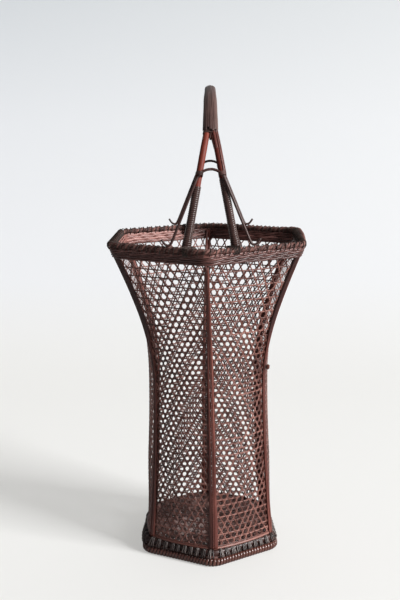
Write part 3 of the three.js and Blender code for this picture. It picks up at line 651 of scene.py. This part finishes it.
def wound_ring(bundle, ring, profile, turns, section, steps=16, bulge=0.0):
    """A strand wound slantwise round a ring whose cross-section is the profile."""
    around = np.tile(around_profile(profile, steps), (turns, 1))
    path, outs = ring_path(ring, turns * steps, 0)
    points = path + outs * around[:, :1]
    points[:, 2] = around[:, 1]
    bundle.sweep(bulged(points, bulge), facing_out(outs, around), section, closed=True)


# Rim

BAND_COURSES = 4
COURSE_WAVES = 22
COURSE_SHIFT = 2.4
BAND_FILLET = 13.0
BAND_REACH = 0.9
BRAID_BUMPS = 66
BRAID_REACH = 1.2
BRAID_FILLET = 18.0
CORD_RADIUS = 1.3
# How far the plies and cords swing, across the braid and up
PLY_SWING = (1.75, 1.25)
CORD_SWING = (0.95, 0.85)
# Where the braid is fuller, at the right, and how far it moves outwards and up there
FULL_ACROSS = (78, 96)
FULL_DEPTH = (-60, 20)
FULL_OUT, FULL_UP = 2.8, 1.2
STITCH_TURNS = 126


def add_band(name, offset, thickness, replaced, lit=0.0):
    """Twined courses: in each, two strands pass over each other between the uprights.

    The back left of the inside is paler where it is lit."""
    bundle = Bundle()
    height = (MOUTH_LEVEL - BAND_BOTTOM) / BAND_COURSES
    count = COURSE_WAVES * 18
    wave = np.arange(count) / count * COURSE_WAVES * 2 * math.pi
    for course in range(BAND_COURSES):
        level = BAND_BOTTOM + (course + 0.5) * height
        ring = ring_frame(float(radius_at(level)) + BAND_REACH, float(turn_at(level)), BAND_FILLET)
        path, outs = ring_path(ring, count, level)
        for strand in range(2):
            phase = wave + strand * math.pi + course * COURSE_SHIFT
            points = path + outs * (offset + thickness * 0.26 * np.cos(phase))[:, None]
            points[:, 2] += height * 0.3 * np.sin(phase)
            tone = rng.random() + lit * smooth(-points[:, 0], 10, 60) * smooth(points[:, 1], -30, 20)
            bundle.sweep(points, outs, flat(height * 0.72, thickness * 0.5), closed=True, tone=tone)
    bundle.build(name, band_brown, replaced)


def add_braid():
    """A rope of two plies on the edge, each of three cords, on a core that fills it."""
    bundle = Bundle()
    count = BRAID_BUMPS * 12
    ring = ring_frame(MOUTH_RADIUS + BRAID_REACH, MOUTH_TURN, BRAID_FILLET)
    path, outs = ring_path(ring, count, (BRAID_BOTTOM + BRAID_TOP) / 2)
    turn = np.arange(count) / count * math.pi * BRAID_BUMPS
    for ply in range(2):
        phase = turn + ply * math.pi
        for cord in range(3):
            lay = phase * 2 + cord * 2 * math.pi / 3
            across = PLY_SWING[0] * np.cos(phase) + CORD_SWING[0] * np.cos(lay)
            up = PLY_SWING[1] * np.sin(phase) + CORD_SWING[1] * np.sin(lay)
            points = path + outs * across[:, None]
            points[:, 2] += up
            full = smooth(points[:, 0], *FULL_ACROSS) * smooth(points[:, 1], *FULL_DEPTH)
            points[:, 0] += FULL_OUT * full
            points[:, 2] += FULL_UP * full
            facing = outs * across[:, None]
            facing[:, 2] = up
            bundle.sweep(points, unit(facing), round_section(CORD_RADIUS, 8, 0.85), closed=True)
    bundle.sweep(path - [0, 0, 1.3], outs, round_section(1.0, 10) * [1.9, 2.3], closed=True)
    bundle.build("rim_plait", plait_brown, ["rim_braid"])


def add_rim_stitches():
    """A fine strand wound over the braid and the top of the bands."""
    bundle = Bundle()
    ring = ring_frame(MOUTH_RADIUS + 0.9, MOUTH_TURN, 16.0)
    profile = rounded(-3.3, 3.7, MOUTH_LEVEL - 2.4, BRAID_TOP + 0.5, 2.2)
    wound_ring(bundle, ring, profile, STITCH_TURNS, round_section(0.42, 6))
    bundle.build("rim_stitches", lashing_brown)


# Foot

HOOP_TURNS = 132
HOOP_FILLET = 15.2
HOOP_PROFILE = rounded(-2.55, 2.55, 0.75, 8.3, 2.0)
LASHED_PROFILE = rounded(-3.5, 3.5, 9.9, 17.9, 1.0)
LASHED_FILLET = 10.0
LASHES = 60
LASH_RADIUS = 0.72
# How far the worn left side of each layer is pushed out
HOOP_BULGE, LASHING_BULGE, CORE_BULGE = 1.6, 2.8, 2.0
# Spread outwards, level, half width and half height of the rings under the windings
FOOT_CORES = ((FOOT_SPREAD, 4.5, 1.9, 3.2), (2.4, 13.6, 2.7, 3.7), (3.2, 9.0, 2.2, 2.0))


def add_foot_hoop():
    bundle = Bundle()
    ring = ring_frame(BASE_RADIUS + FOOT_SPREAD / FACE_COS, FOOT_TURN, HOOP_FILLET)
    wound_ring(bundle, ring, HOOP_PROFILE, HOOP_TURNS, round_section(1.75, 8, 0.42), bulge=HOOP_BULGE)
    bundle.build("foot_hoop_winding", hoop_brown, ["foot_hoop"])


def add_foot_lashing():
    """Lashings of three strands, which spread towards the ground."""
    bundle = Bundle()
    ring = ring_frame(BASE_RADIUS, FOOT_TURN, LASHED_FILLET)
    profile = LASHED_PROFILE.copy()
    profile[:, 0] += FOOT_SPREAD * (1 - (profile[:, 1] - 9.3) / 9)
    around = around_profile(profile, 26)
    down = np.clip((18.0 - around[:, 1]) / 8, 0, 1)
    for lash in range(LASHES):
        middle = (lash + 0.5 + 0.16 * (rng.random() - 0.5)) / LASHES * ring[2][-1]
        for strand in (-1, 0, 1):
            where = middle + strand * (1.15 + 0.75 * down) + 0.5 * (rng.random() - 0.5)
            path, outs = ring_points(ring, where)
            lift = 0.25 if strand == 0 else 0.0
            points = path + outs * (around[:, 0] + lift * np.sign(around[:, 0]))[:, None]
            points[:, 2] = around[:, 1]
            section = round_section(LASH_RADIUS, 6, 0.8)
            bundle.sweep(bulged(points, LASHING_BULGE), facing_out(outs, around), section, closed=True)
    bundle.build("foot_lashing", rattan_black, ["foot_lashed_ring"])


def add_foot_cores():
    """Plain rings that fill the foot under its windings."""
    bundle = Bundle()
    for spread, level, half_width, half_height in FOOT_CORES:
        path, outs = ring_path(ring_frame(BASE_RADIUS + spread / FACE_COS, FOOT_TURN, 12.0), 120, level)
        section = round_section(1.0, 10) * [half_height, half_width]
        bundle.sweep(bulged(path, CORE_BULGE), outs, section, closed=True)
    bundle.build("foot_cores", bamboo_dark)


# Floor

FLOOR_PITCH = 4.8
FLOOR_STRIP_WIDTH = 4.0
FLOOR_STRIP_THICKNESS = 0.7
FLOOR_STRIPS_A_SIDE = 18
FLOOR_MARGIN = 0.9
# Where the floor's strips in one direction get painted glints, pale dashes of light, and the strips the
# other way are darkened: each pair is a soft edge
GLINT_LEFT, GLINT_RIGHT = (-44, -36), (0, 6)
GLINT_FRONT, GLINT_BACK = (-44, -38), (-12, 0)


def within_walls(points, margin):
    """Which points lie inside the bowed walls at the level of the floor."""
    kept = np.ones(len(points), bool)
    for side in range(6):
        angle = corner_angle(side + 0.5) + FOOT_TURN
        depth, along = points @ direction(angle)[:2], points @ direction(angle + math.pi / 2)[:2]
        share = along / (BASE_RADIUS / 2)
        kept &= depth < BASE_RADIUS * FACE_COS + float(bow_at(FLOOR_TOP)) * (1 - share ** 2) - margin
    return kept


def glints_at(points):
    across, depth = points[:, 0], points[:, 1]
    glint = smooth(across, *GLINT_LEFT) * smooth(-across, *GLINT_RIGHT)
    return glint * smooth(-depth, *GLINT_BACK) * smooth(depth, *GLINT_FRONT)


def add_floor():
    """Plaited panel of strips, two under and two over."""
    bundle = Bundle()
    for turned in (0, 1):
        lie = FOOT_TURN + turned * math.pi / 2
        run = np.array([math.cos(lie), math.sin(lie)])
        across = np.array([-run[1], run[0]])
        for strip in range(-FLOOR_STRIPS_A_SIDE, FLOOR_STRIPS_A_SIDE + 1):
            origin = across * strip * FLOOR_PITCH
            fine = np.arange(-90, 90, 0.4)
            inside = fine[within_walls(origin + run * fine[:, None], FLOOR_MARGIN)]
            if len(inside) < 12:
                continue
            reach = np.append(np.arange(inside[0], inside[-1] - 1.0, FLOOR_PITCH / 4), inside[-1])
            wave = np.cos(math.pi * (reach / FLOOR_PITCH / 2 + strip / 2)) * (1 if turned else -1)
            points = np.zeros((len(reach), 3))
            points[:, :2] = origin + run * reach[:, None]
            points[:, 2] = FLOOR_TOP - 1.1 + np.clip(wave * 1.4, -1, 1) * FLOOR_STRIP_THICKNESS / 2
            # Painted glints: at the front left, the strips one way turn pale and those the other way dark.
            glint = glints_at(points)
            tone = rng.random() * (1 - glint) + (0.1 if turned else 1.45) * glint
            section = flat(FLOOR_STRIP_WIDTH, FLOOR_STRIP_THICKNESS)
            bundle.sweep(points, (0.0, 0, 1), section, tone=tone)
    bundle.build("floor_plait", floor_brown, ["floor_panel"])


# Routes of the handle

# Shares of the arch's rise: where the rods begin to taper, where they meet, and the hoops' top
TAPER_SHARE = 0.595
MEETING_SHARE = 0.729
HOOP_TOP_SHARE = 0.5
HOOP_CROWN = 15.0
HOOP_REACH = 39.6
HOOP_END_RADIUS = 1.05
HOOK_LENGTH = 9.4
HOOK_RISE = 5.0
HOOK_DROP = 2.0


def arch_level(share):
    return BRAID_TOP + ARCH_RISE * share


def rod_radius(level):
    share = smooth(level, arch_level(TAPER_SHARE), arch_level(1))
    return ROD_RADIUS + (ROD_TOP_RADIUS - ROD_RADIUS) * share


def rod_spacing(level):
    """Distance of a rod's centre from the handle's middle."""
    return rod_radius(level) + GAP / 2 + ROD_SPLAY * np.clip(arch_level(MEETING_SHARE) - level, 0, None)


def seat_depth(across, hand, end):
    """How far in front of or behind the middle a rod stands in the mouth."""
    slant = FACE_TURN + MOUTH_TURN * hand * end
    apothem = MOUTH_RADIUS * FACE_COS - ROD_SEAT
    return (apothem - (across + hand * HANDLE_SHIFT) * math.sin(slant)) / math.cos(slant)


def rod_path(hand, steps=96):
    """Centre line of a rod from the front foot over the top to the back foot."""
    turn = np.linspace(0, math.pi, steps + 1)
    share = np.sin(turn)
    level = arch_level(share)
    mouth = float(rod_spacing(BRAID_TOP))
    fade = np.clip(share / GRIP_END_SHARE, 0, 1)
    spans = []
    for end in (-1, 1):
        own, other = seat_depth(mouth, hand, end), seat_depth(mouth, -hand, end)
        spans.append(own + ((own + other) / 2 - own) * fade)
    span = np.where(turn < math.pi / 2, spans[0], spans[1])
    path = np.stack([HANDLE_SHIFT + hand * rod_spacing(level), -np.cos(turn) * span, level], -1)
    spacing = float(rod_spacing(ROD_FOOT_LEVEL))
    foot = HANDLE_SHIFT + hand * spacing
    lean = float(radius_at(MOUTH_LEVEL) - radius_at(ROD_FOOT_LEVEL)) * FACE_COS
    front, back = (
        [foot, end * (seat_depth(spacing, hand, end) - lean), ROD_FOOT_LEVEL] for end in (-1, 1)
    )
    return np.vstack([[front], path, [back]])


def leg(hand, end):
    """The half of a rod that stands at the front or the back, from its foot up."""
    path = rod_path(hand)
    return path[: len(path) // 2] if end < 0 else path[::-1][: len(path) // 2]


def leg_at(hand, end, level):
    half = leg(hand, end)
    return rows_at(level, half[:, 2], half)


def leg_between(hand, end, low, high):
    half = leg(hand, end)
    inside = (half[:, 2] > low) & (half[:, 2] < high)
    return np.vstack([leg_at(hand, end, low), half[inside], leg_at(hand, end, high)])


def half_hoop():
    """A hoop's right half, as pairs of reach and level: crown, straight leg and curled foot."""
    foot = BRAID_TOP + GAP + HOOP_RADIUS + 0.8
    crown_level = arch_level(HOOP_TOP_SHARE) - HOOP_RADIUS - HOOP_CROWN
    lean = math.atan2(HOOP_REACH - HOOP_CROWN, crown_level - foot)
    turn = np.linspace(0, math.pi / 2 - lean, 14)
    arc = np.stack([HOOP_CROWN * np.sin(turn), crown_level + HOOP_CROWN * np.cos(turn)], -1)
    share = np.linspace(0, 1, 13)[1:, None]
    straight = arc[-1] + (np.array([HOOP_REACH, foot]) - arc[-1]) * share
    share = np.linspace(0, 1, 11)[1:]
    dip = np.sin(share * math.pi) * HOOK_DROP
    curl = np.stack([HOOP_REACH + HOOK_LENGTH * share, foot - dip + HOOK_RISE * share ** 2], -1)
    return np.vstack([arc, straight, curl])


def hoop_depth(end, hand, sideways, level):
    """How far in front of or behind the middle a hoop passes: over the leg, then down to the braid."""
    def at(height):
        low, high = leg_at(hand, end, height - HOOP_RADIUS), leg_at(hand, end, height + HOOP_RADIUS)
        lean = math.atan2(abs(low[1] - high[1]), high[2] - low[2])
        wrap = (float(rod_radius(height)) + GAP) / math.cos(math.pi / 8) + 0.6
        return abs(low[1] + high[1]) / 2, (wrap + GAP + HOOP_RADIUS) / math.cos(lean)

    leaving = arch_level(HOOP_TOP_SHARE) - HOOP_CROWN
    depth, reach = at(leaving)
    on_braid = seat_depth(38.0, hand, end) + ROD_SEAT / FACE_COS
    share = min(max((level - BRAID_TOP) / (leaving - BRAID_TOP), 0), 1)
    straight = on_braid + (depth + reach - on_braid) * share
    depth, reach = at(level)
    beside = max(sideways - float(rod_spacing(level)), 0)
    against = depth + math.sqrt(max(reach ** 2 - beside ** 2, 0))
    if level > leaving:
        return against
    return max(straight, against) if beside < reach else straight


# Pieces of the handle

ROD_TONES = {"left": 0.6, "right": 0.2}
# Direction across and outwards, width, and lowest share of the arch, of the strips on the right rod
SPLINTS = ((0.95, 0.35, 2.6, 0.42), (0.7, 0.85, 2.0, 0.42), (-0.15, 1.0, 2.4, 0.62), (-0.85, 0.5, 2.4, 0.62))
SPLINT_TOP_SHARE = 0.76
SPLINT_THICKNESS = 0.8
SPLINT_LIFT = 0.7
WINDING_THICKNESS = 0.7
WINDING_WIDTH = 1.42
WINDING_PITCH = 1.5
CROTCH_SHARES = (0.675, 0.74)
CROTCH_SIZE = (2.0, 3.0)
# Places round the grip, in degrees from the right over the top, of its lengthwise strips
STRIP_PLACES = (6, 27, 46, 62, 76, 90, 104, 118, 134, 153, 174)
STRIP_WIDTH = 2.5
STRIP_THICKNESS = 0.55
# Shares of the arch up to which the legs are wound
LEG_WINDING_SHARES = {-1: 0.379, 1: 0.426}
LEG_CORD_PITCH = 2.0
TIE_HALF_LENGTH = 1.9
TIE_PITCH = 1.25


def add_rods():
    for hand, name in HANDS:
        bundle = Bundle()
        path = rod_path(hand)
        radius = rod_radius(path[:, 2]) * (1 - 0.28 * smooth(path[:, 2], HANDLE_TOP - 14, HANDLE_TOP - 4))
        bundle.sweep(path, SIDEWAYS, round_section(1, 16) * radius[:, None, None], tone=ROD_TONES[name])
        bundle.build("rod_" + name, bamboo_red, ["handle_rod_" + name])


def add_splints():
    """Split strips that run from the grip down the right rod and thin out on it."""
    bundle = Bundle()
    for end in (-1, 1):
        for across, depth, wide, share in SPLINTS:
            low = arch_level(share)
            path = leg_between(1, end, low, arch_level(SPLINT_TOP_SHARE))
            out = unit(np.array([across, end * depth, 0.0]))
            seat = rod_radius(path[:, 2]) + SPLINT_LIFT * smooth(path[:, 2], low, low + 9)
            tone = 0.1 + 0.3 * rng.random()
            bundle.sweep(path + out * seat[:, None], out, flat(wide, SPLINT_THICKNESS), tone=tone)
    bundle.build("rod_splint", post_red)


def add_crotch(bundle):
    """Fills the fork where the rods part under the grip."""
    low, high = (arch_level(share) for share in CROTCH_SHARES)
    for end in (-1, 1):
        path = (leg_between(-1, end, low, high) + leg_between(1, end, low, high)) / 2
        slim = np.linspace(0.55, 1.0, len(path))[:, None, None]
        bundle.sweep(path, (0.0, end, 0), round_section(1, 10) * CROTCH_SIZE * slim)


def add_grip():
    """A winding round both rods, with strips laid lengthwise on it."""
    bundle = Bundle()
    left, right = rod_path(-1), rod_path(1)
    top = left[:, 2] > arch_level(GRIP_END_SHARE - 0.02)
    middle = ((left + right) / 2)[top]
    near_tip = smooth(middle[:, 2], HANDLE_TOP - 16, HANDLE_TOP - 4)
    spacing = rod_spacing(middle[:, 2]) * (1 - 0.3 * near_tip)
    radius = rod_radius(middle[:, 2]) * (1 - 0.08 * near_tip)
    wind(bundle, middle, SIDEWAYS, spacing + radius + WINDING_THICKNESS / 2, radius + WINDING_THICKNESS / 2,
         WINDING_PITCH, flat(WINDING_WIDTH, WINDING_THICKNESS), per_turn=28, groove=0.1, tone=0.2)
    add_crotch(bundle)
    ups = np.cross(unit(np.gradient(middle, axis=0)), SIDEWAYS)
    ups = ups * np.sign(np.sum(ups * (middle - [HANDLE_SHIFT, 0, 400.0]), 1))[:, None]
    length = lengths_along(middle)
    for place in np.radians(STRIP_PLACES):
        aside, above = math.cos(place), math.sin(place)
        inset = rng.random() * 7.0
        where = np.arange(inset, length[-1] - inset, 1.0)
        fine, outs, reach, tall = (
            rows_at(where, length, values) for values in (middle, ups, spacing[:, None], radius[:, None])
        )
        lift = WINDING_THICKNESS + 0.25 + 0.12 * np.sin(where[:, None] / 9.0 + 40 * place) + 0.9 * above ** 4
        flank = reach * min(max(aside * 1.6, -1), 1)
        arm = np.array(SIDEWAYS) * (flank + (tall + lift) * aside) + outs * (tall + lift) * above
        facing = np.array(SIDEWAYS) * aside + outs * above
        # Strips on the right of the grip are lighter and those on the left darker: painted light and shade
        # from the key light at the right.
        tone = max(0.0, 0.25 + 0.4 * aside) + 0.2 * rng.random()
        bundle.sweep(fine + arm, unit(facing), flat(STRIP_WIDTH, STRIP_THICKNESS), tone=tone)
    bundle.build("grip_winding", grip_brown, ["grip_wrap"])


def add_leg_windings():
    """Cord wound round each leg, thicker at its foot."""
    for hand, end, name in LEGS:
        path = leg_between(hand, end, ROD_FOOT_LEVEL + 0.5, arch_level(LEG_WINDING_SHARES[hand]))
        level = path[:, 2]
        reach = rod_radius(level) + 0.15 + 0.9 * (1 - smooth(level, BRAID_TOP + 1, BRAID_TOP + 12))
        bundle = Bundle()
        wind(bundle, path, SIDEWAYS, reach, reach, LEG_CORD_PITCH, round_section(1.05, 8, 0.6), tone=0.35)
        bundle.build("leg_winding_" + name, rattan_brown, ["leg_wrap_" + name])


def add_hoops():
    """A hoop over the front legs and one over the back legs, thinner at their curled feet."""
    half = half_hoop()
    for end, name in ENDS:
        def place(points, hand):
            return [(HANDLE_SHIFT + hand * x, end * hoop_depth(end, hand, x, z), z) for x, z in points]

        path = np.array(place(half[:0:-1], -1) + place(half, 1))
        path[1:-1] = (path[:-2] + 2 * path[1:-1] + path[2:]) / 4
        steps = np.arange(len(path))
        share = np.clip(np.minimum(steps, steps[::-1]) / 10, 0, 1)
        radius = HOOP_END_RADIUS + (HOOP_RADIUS - HOOP_END_RADIUS) * share
        bundle = Bundle()
        bundle.sweep(path, (0.0, end, 0), round_section(1, 10) * radius[:, None, None], tone=0.2)
        bundle.build("hoop_bow_" + name, bamboo_dark, ["hoop_" + name])


def add_ties():
    """A few turns of cane round rod and hoop at each crossing."""
    half = half_hoop()
    miss = half[:, 0] - rod_spacing(half[:, 1])
    past = int(np.argmax(miss > 0))
    level = float(np.interp(0, miss[past - 1:past + 1], half[past - 1:past + 1, 1]))
    radius, spacing = float(rod_radius(level)), float(rod_spacing(level))
    for hand, end, name in LEGS:
        path = leg_between(hand, end, level - TIE_HALF_LENGTH, level + TIE_HALF_LENGTH)
        reach = float(hoop_depth(end, hand, spacing, level)) - abs(leg_at(hand, end, level)[1])
        path = path + np.array([0, end, 0]) * reach / 2
        bundle = Bundle()
        wide, high = radius + reach / 2 + 1.0, radius + 0.2
        wind(bundle, path, (0.0, 1.0, 0), wide, high, TIE_PITCH, round_section(0.6, 6, 0.6))
        bundle.build("hoop_binding_" + name, bamboo_dark, ["hoop_tie_" + name])


# Lashings of the legs on the rim

# Loop round braid and bands, as offset from the wall and level
RIM_LOOP = np.array([
    (4.0, 346.6), (4.5, 344.0), (4.3, 340.5), (3.0, 338.2), (0.5, 337.4), (-3.0, 337.2),
    (-8.0, 337.4), (-12.2, 338.5), (-12.9, 341.5), (-12.2, 345.6), (-8.0, 347.3), (0.0, 347.6),
])
RIM_LOOP_MIDDLE = (-4, 339)
RIM_LANES = (-1.7, 0, 1.7)
RIM_CORD_RADIUS = 0.46
CROSSING = 2.0
# The front lashings stand nearer the middle than the legs
FRONT_LASHING_SHIFT = 5.5


def add_rim_lashings():
    """Two bundles of three cords at each leg, which cross on the outside of the rim."""
    offset, level = around_profile(RIM_LOOP, 40).T
    down = np.clip((BRAID_TOP + 0.5 - level) / 13, 0, 1)
    wall = radius_at(np.minimum(level, MOUTH_LEVEL)) * FACE_COS
    inner = offset - RIM_LOOP_MIDDLE[0]
    for hand, end, name in LEGS:
        angle = corner_angle(WALL_NAMES.index(name) + 0.5) + MOUTH_TURN
        outward, sideways = direction(angle), direction(angle + math.pi / 2)
        shift = hand * end * (FRONT_LASHING_SHIFT if end < 0 else 0.0)
        middle = float(leg_at(hand, end, BRAID_TOP) @ sideways) + shift
        facing = outward * inner[:, None]
        facing[:, 2] = level - RIM_LOOP_MIDDLE[1]
        bundle = Bundle()
        for slant in (1, -1):
            for lane in RIM_LANES:
                along = middle + slant * CROSSING * (1 - 2 * down) + lane
                points = outward * (wall + offset + 0.25 * slant * np.sign(inner))[:, None]
                points = points + sideways * along[:, None]
                points[:, 2] = level
                bundle.sweep(points, unit(facing), round_section(RIM_CORD_RADIUS, 6, 0.8), closed=True)
        bundle.build("rim_lashing_strands_" + name, lashing_brown, ["rim_lashing_" + name])


def dress_peg():
    """The peg stays a CAD solid and gets a material."""
    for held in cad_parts["post_peg"].material_slots:
        held.material = peg_red


# Camera, fitted to the photo: places in metres

PICTURE_HEIGHT = 600
FOCAL_PIXELS = 942.46
SENSOR_HEIGHT = 24.0
CAMERA_PLACE = (0.00256, -1.01453, 0.47417)
# Pitch, yaw and roll in degrees
CAMERA_ANGLES = (11.11, -0.62, -0.46)


def add_camera():
    data = bpy.data.cameras.new("camera")
    data.sensor_fit = "VERTICAL"
    data.sensor_height = SENSOR_HEIGHT
    data.lens = FOCAL_PIXELS / PICTURE_HEIGHT * SENSOR_HEIGHT
    data.clip_end = 50.0
    camera = added("camera", data)
    pitch, yaw, roll = (math.radians(angle) for angle in CAMERA_ANGLES)
    ahead = Vector((math.sin(yaw), math.cos(yaw), 0))
    right = Vector((math.cos(yaw), -math.sin(yaw), 0))
    forward = ahead * math.cos(pitch) + Vector((0, 0, -1)) * math.sin(pitch)
    up = right.cross(forward)
    tilted_right = right * math.cos(roll) + up * math.sin(roll)
    tilted_up = up * math.cos(roll) - right * math.sin(roll)
    place = Matrix((tilted_right, tilted_up, -forward)).transposed().to_4x4()
    place.translation = Vector(CAMERA_PLACE)
    camera.matrix_world = place
    bpy.context.scene.camera = camera


# Floor, backdrop and light, in metres

STAGE_HALF_WIDTH = 6
STAGE_FRONT = -3.0
BEND_START = 0.6
BEND_RADIUS = 1.4
STAGE_HEIGHT = 5.0
# What the camera sees glow on the paper, by height, and the factors at the left and the right: the glow dims
# up the backdrop, a painted falloff of light, and is stronger at the left, where the key light falls more
# weakly
PAPER_GLOW_BY_HEIGHT = [
    (0.0, (0.405, 0.40, 0.385)), (0.1, (0.385, 0.395, 0.415)),
    (0.45, (0.31, 0.325, 0.35)), (0.85, (0.165, 0.19, 0.215)),
]
PAPER_SIDES = (-0.6, 0.6, 1.1, 0.84)


def paper():
    """Matt paper, whose pale tone is added for camera rays only."""
    material = bpy.data.materials.new("paper")
    material.use_nodes = True
    tree = material.node_tree
    shader = tree.nodes["Principled BSDF"]
    shader.inputs["Roughness"].default_value = 0.95
    shader.inputs["Base Color"].default_value = (0.44, 0.44, 0.435, 1)
    place = node(tree, "ShaderNodeTexCoord").outputs["Object"]
    apart = node(tree, "ShaderNodeSeparateXYZ", {0: place}).outputs
    # The glow dims up the backdrop, a painted falloff of light, and is stronger at the left.
    shown = node(tree, "ShaderNodeVectorMath", {
        0: ramp(tree, apart["Z"], PAPER_GLOW_BY_HEIGHT), 1: mapped(tree, apart["X"], *PAPER_SIDES),
    }, operation="MULTIPLY").outputs[0]
    tree.links.new(shown, shader.inputs["Emission Color"])
    rays = node(tree, "ShaderNodeLightPath")
    tree.links.new(rays.outputs["Is Camera Ray"], shader.inputs["Emission Strength"])
    return material


def add_stage():
    """A floor that bends up into a backdrop."""
    profile = [(STAGE_FRONT, 0.0), (BEND_START, 0.0)]
    for turn in np.linspace(0, math.pi / 2, 17)[1:]:
        back, up = BEND_RADIUS * math.sin(turn), BEND_RADIUS - BEND_RADIUS * math.cos(turn)
        profile.append((BEND_START + back, up))
    profile.append((BEND_START + BEND_RADIUS, STAGE_HEIGHT))
    verts, faces = [], []
    for y, z in profile:
        verts += [(-STAGE_HALF_WIDTH, y, z), (STAGE_HALF_WIDTH, y, z)]
    for step in range(len(profile) - 1):
        faces.append((2 * step, 2 * step + 1, 2 * step + 3, 2 * step + 2))
    mesh = bpy.data.meshes.new("backdrop")
    mesh.from_pydata(verts, [], faces)
    mesh.shade_smooth()
    mesh.materials.append(paper())
    backdrop = added("backdrop", mesh)


def add_light(name, place, target, size, power):
    """A square soft light, with its size in metres and its power in watts."""
    data = bpy.data.lights.new(name, "AREA")
    data.shape = "RECTANGLE"
    data.size, data.size_y = size, size
    data.energy = power
    lamp = added(name, data)
    lamp.location = place
    lamp.rotation_euler = (Vector(target) - Vector(place)).to_track_quat("-Z", "Y").to_euler()


def add_world():
    """A weak glow for the light, and a pale ground where the camera sees past the backdrop."""
    world = bpy.data.worlds.new("studio")
    bpy.context.scene.world = world
    world.use_nodes = True
    tree = world.node_tree
    tree.nodes.clear()
    glow = node(tree, "ShaderNodeBackground", {"Color": (0.93, 0.96, 1.0, 1), "Strength": 0.14}).outputs[0]
    pale = node(tree, "ShaderNodeBackground", {"Color": (0.78, 0.81, 0.84, 1), "Strength": 1.0}).outputs[0]
    seen = node(tree, "ShaderNodeLightPath").outputs["Is Camera Ray"]
    mixed = node(tree, "ShaderNodeMixShader", {0: seen, 1: glow, 2: pale}).outputs[0]
    node(tree, "ShaderNodeOutputWorld", {0: mixed})


add_camera()
add_stage()
add_light("key", (4.2, -2.3, 2.4), (0, 0, 0.25), 1.9, 520)
add_light("top", (-0.2, 0.5, 2.4), (0, 0.3, 0), 1.8, 5)
add_world()
add_weave()
add_posts()
add_liners()
add_band("rim_courses_outer", OUTER_SEAT + 1.15, 2.3, ["rim_outer_band"])
add_band("rim_courses_inner", -OUTER_SEAT - 0.9, 1.8, ["rim_inner_band"], lit=0.75)
add_braid()
add_rim_stitches()
add_foot_hoop()
add_foot_lashing()
add_foot_cores()
add_floor()
add_rods()
add_splints()
add_grip()
add_leg_windings()
add_hoops()
add_ties()
add_rim_lashings()
dress_peg()

bpy.context.scene.view_settings.view_transform = "Standard"
bpy.context.view_layer.update()
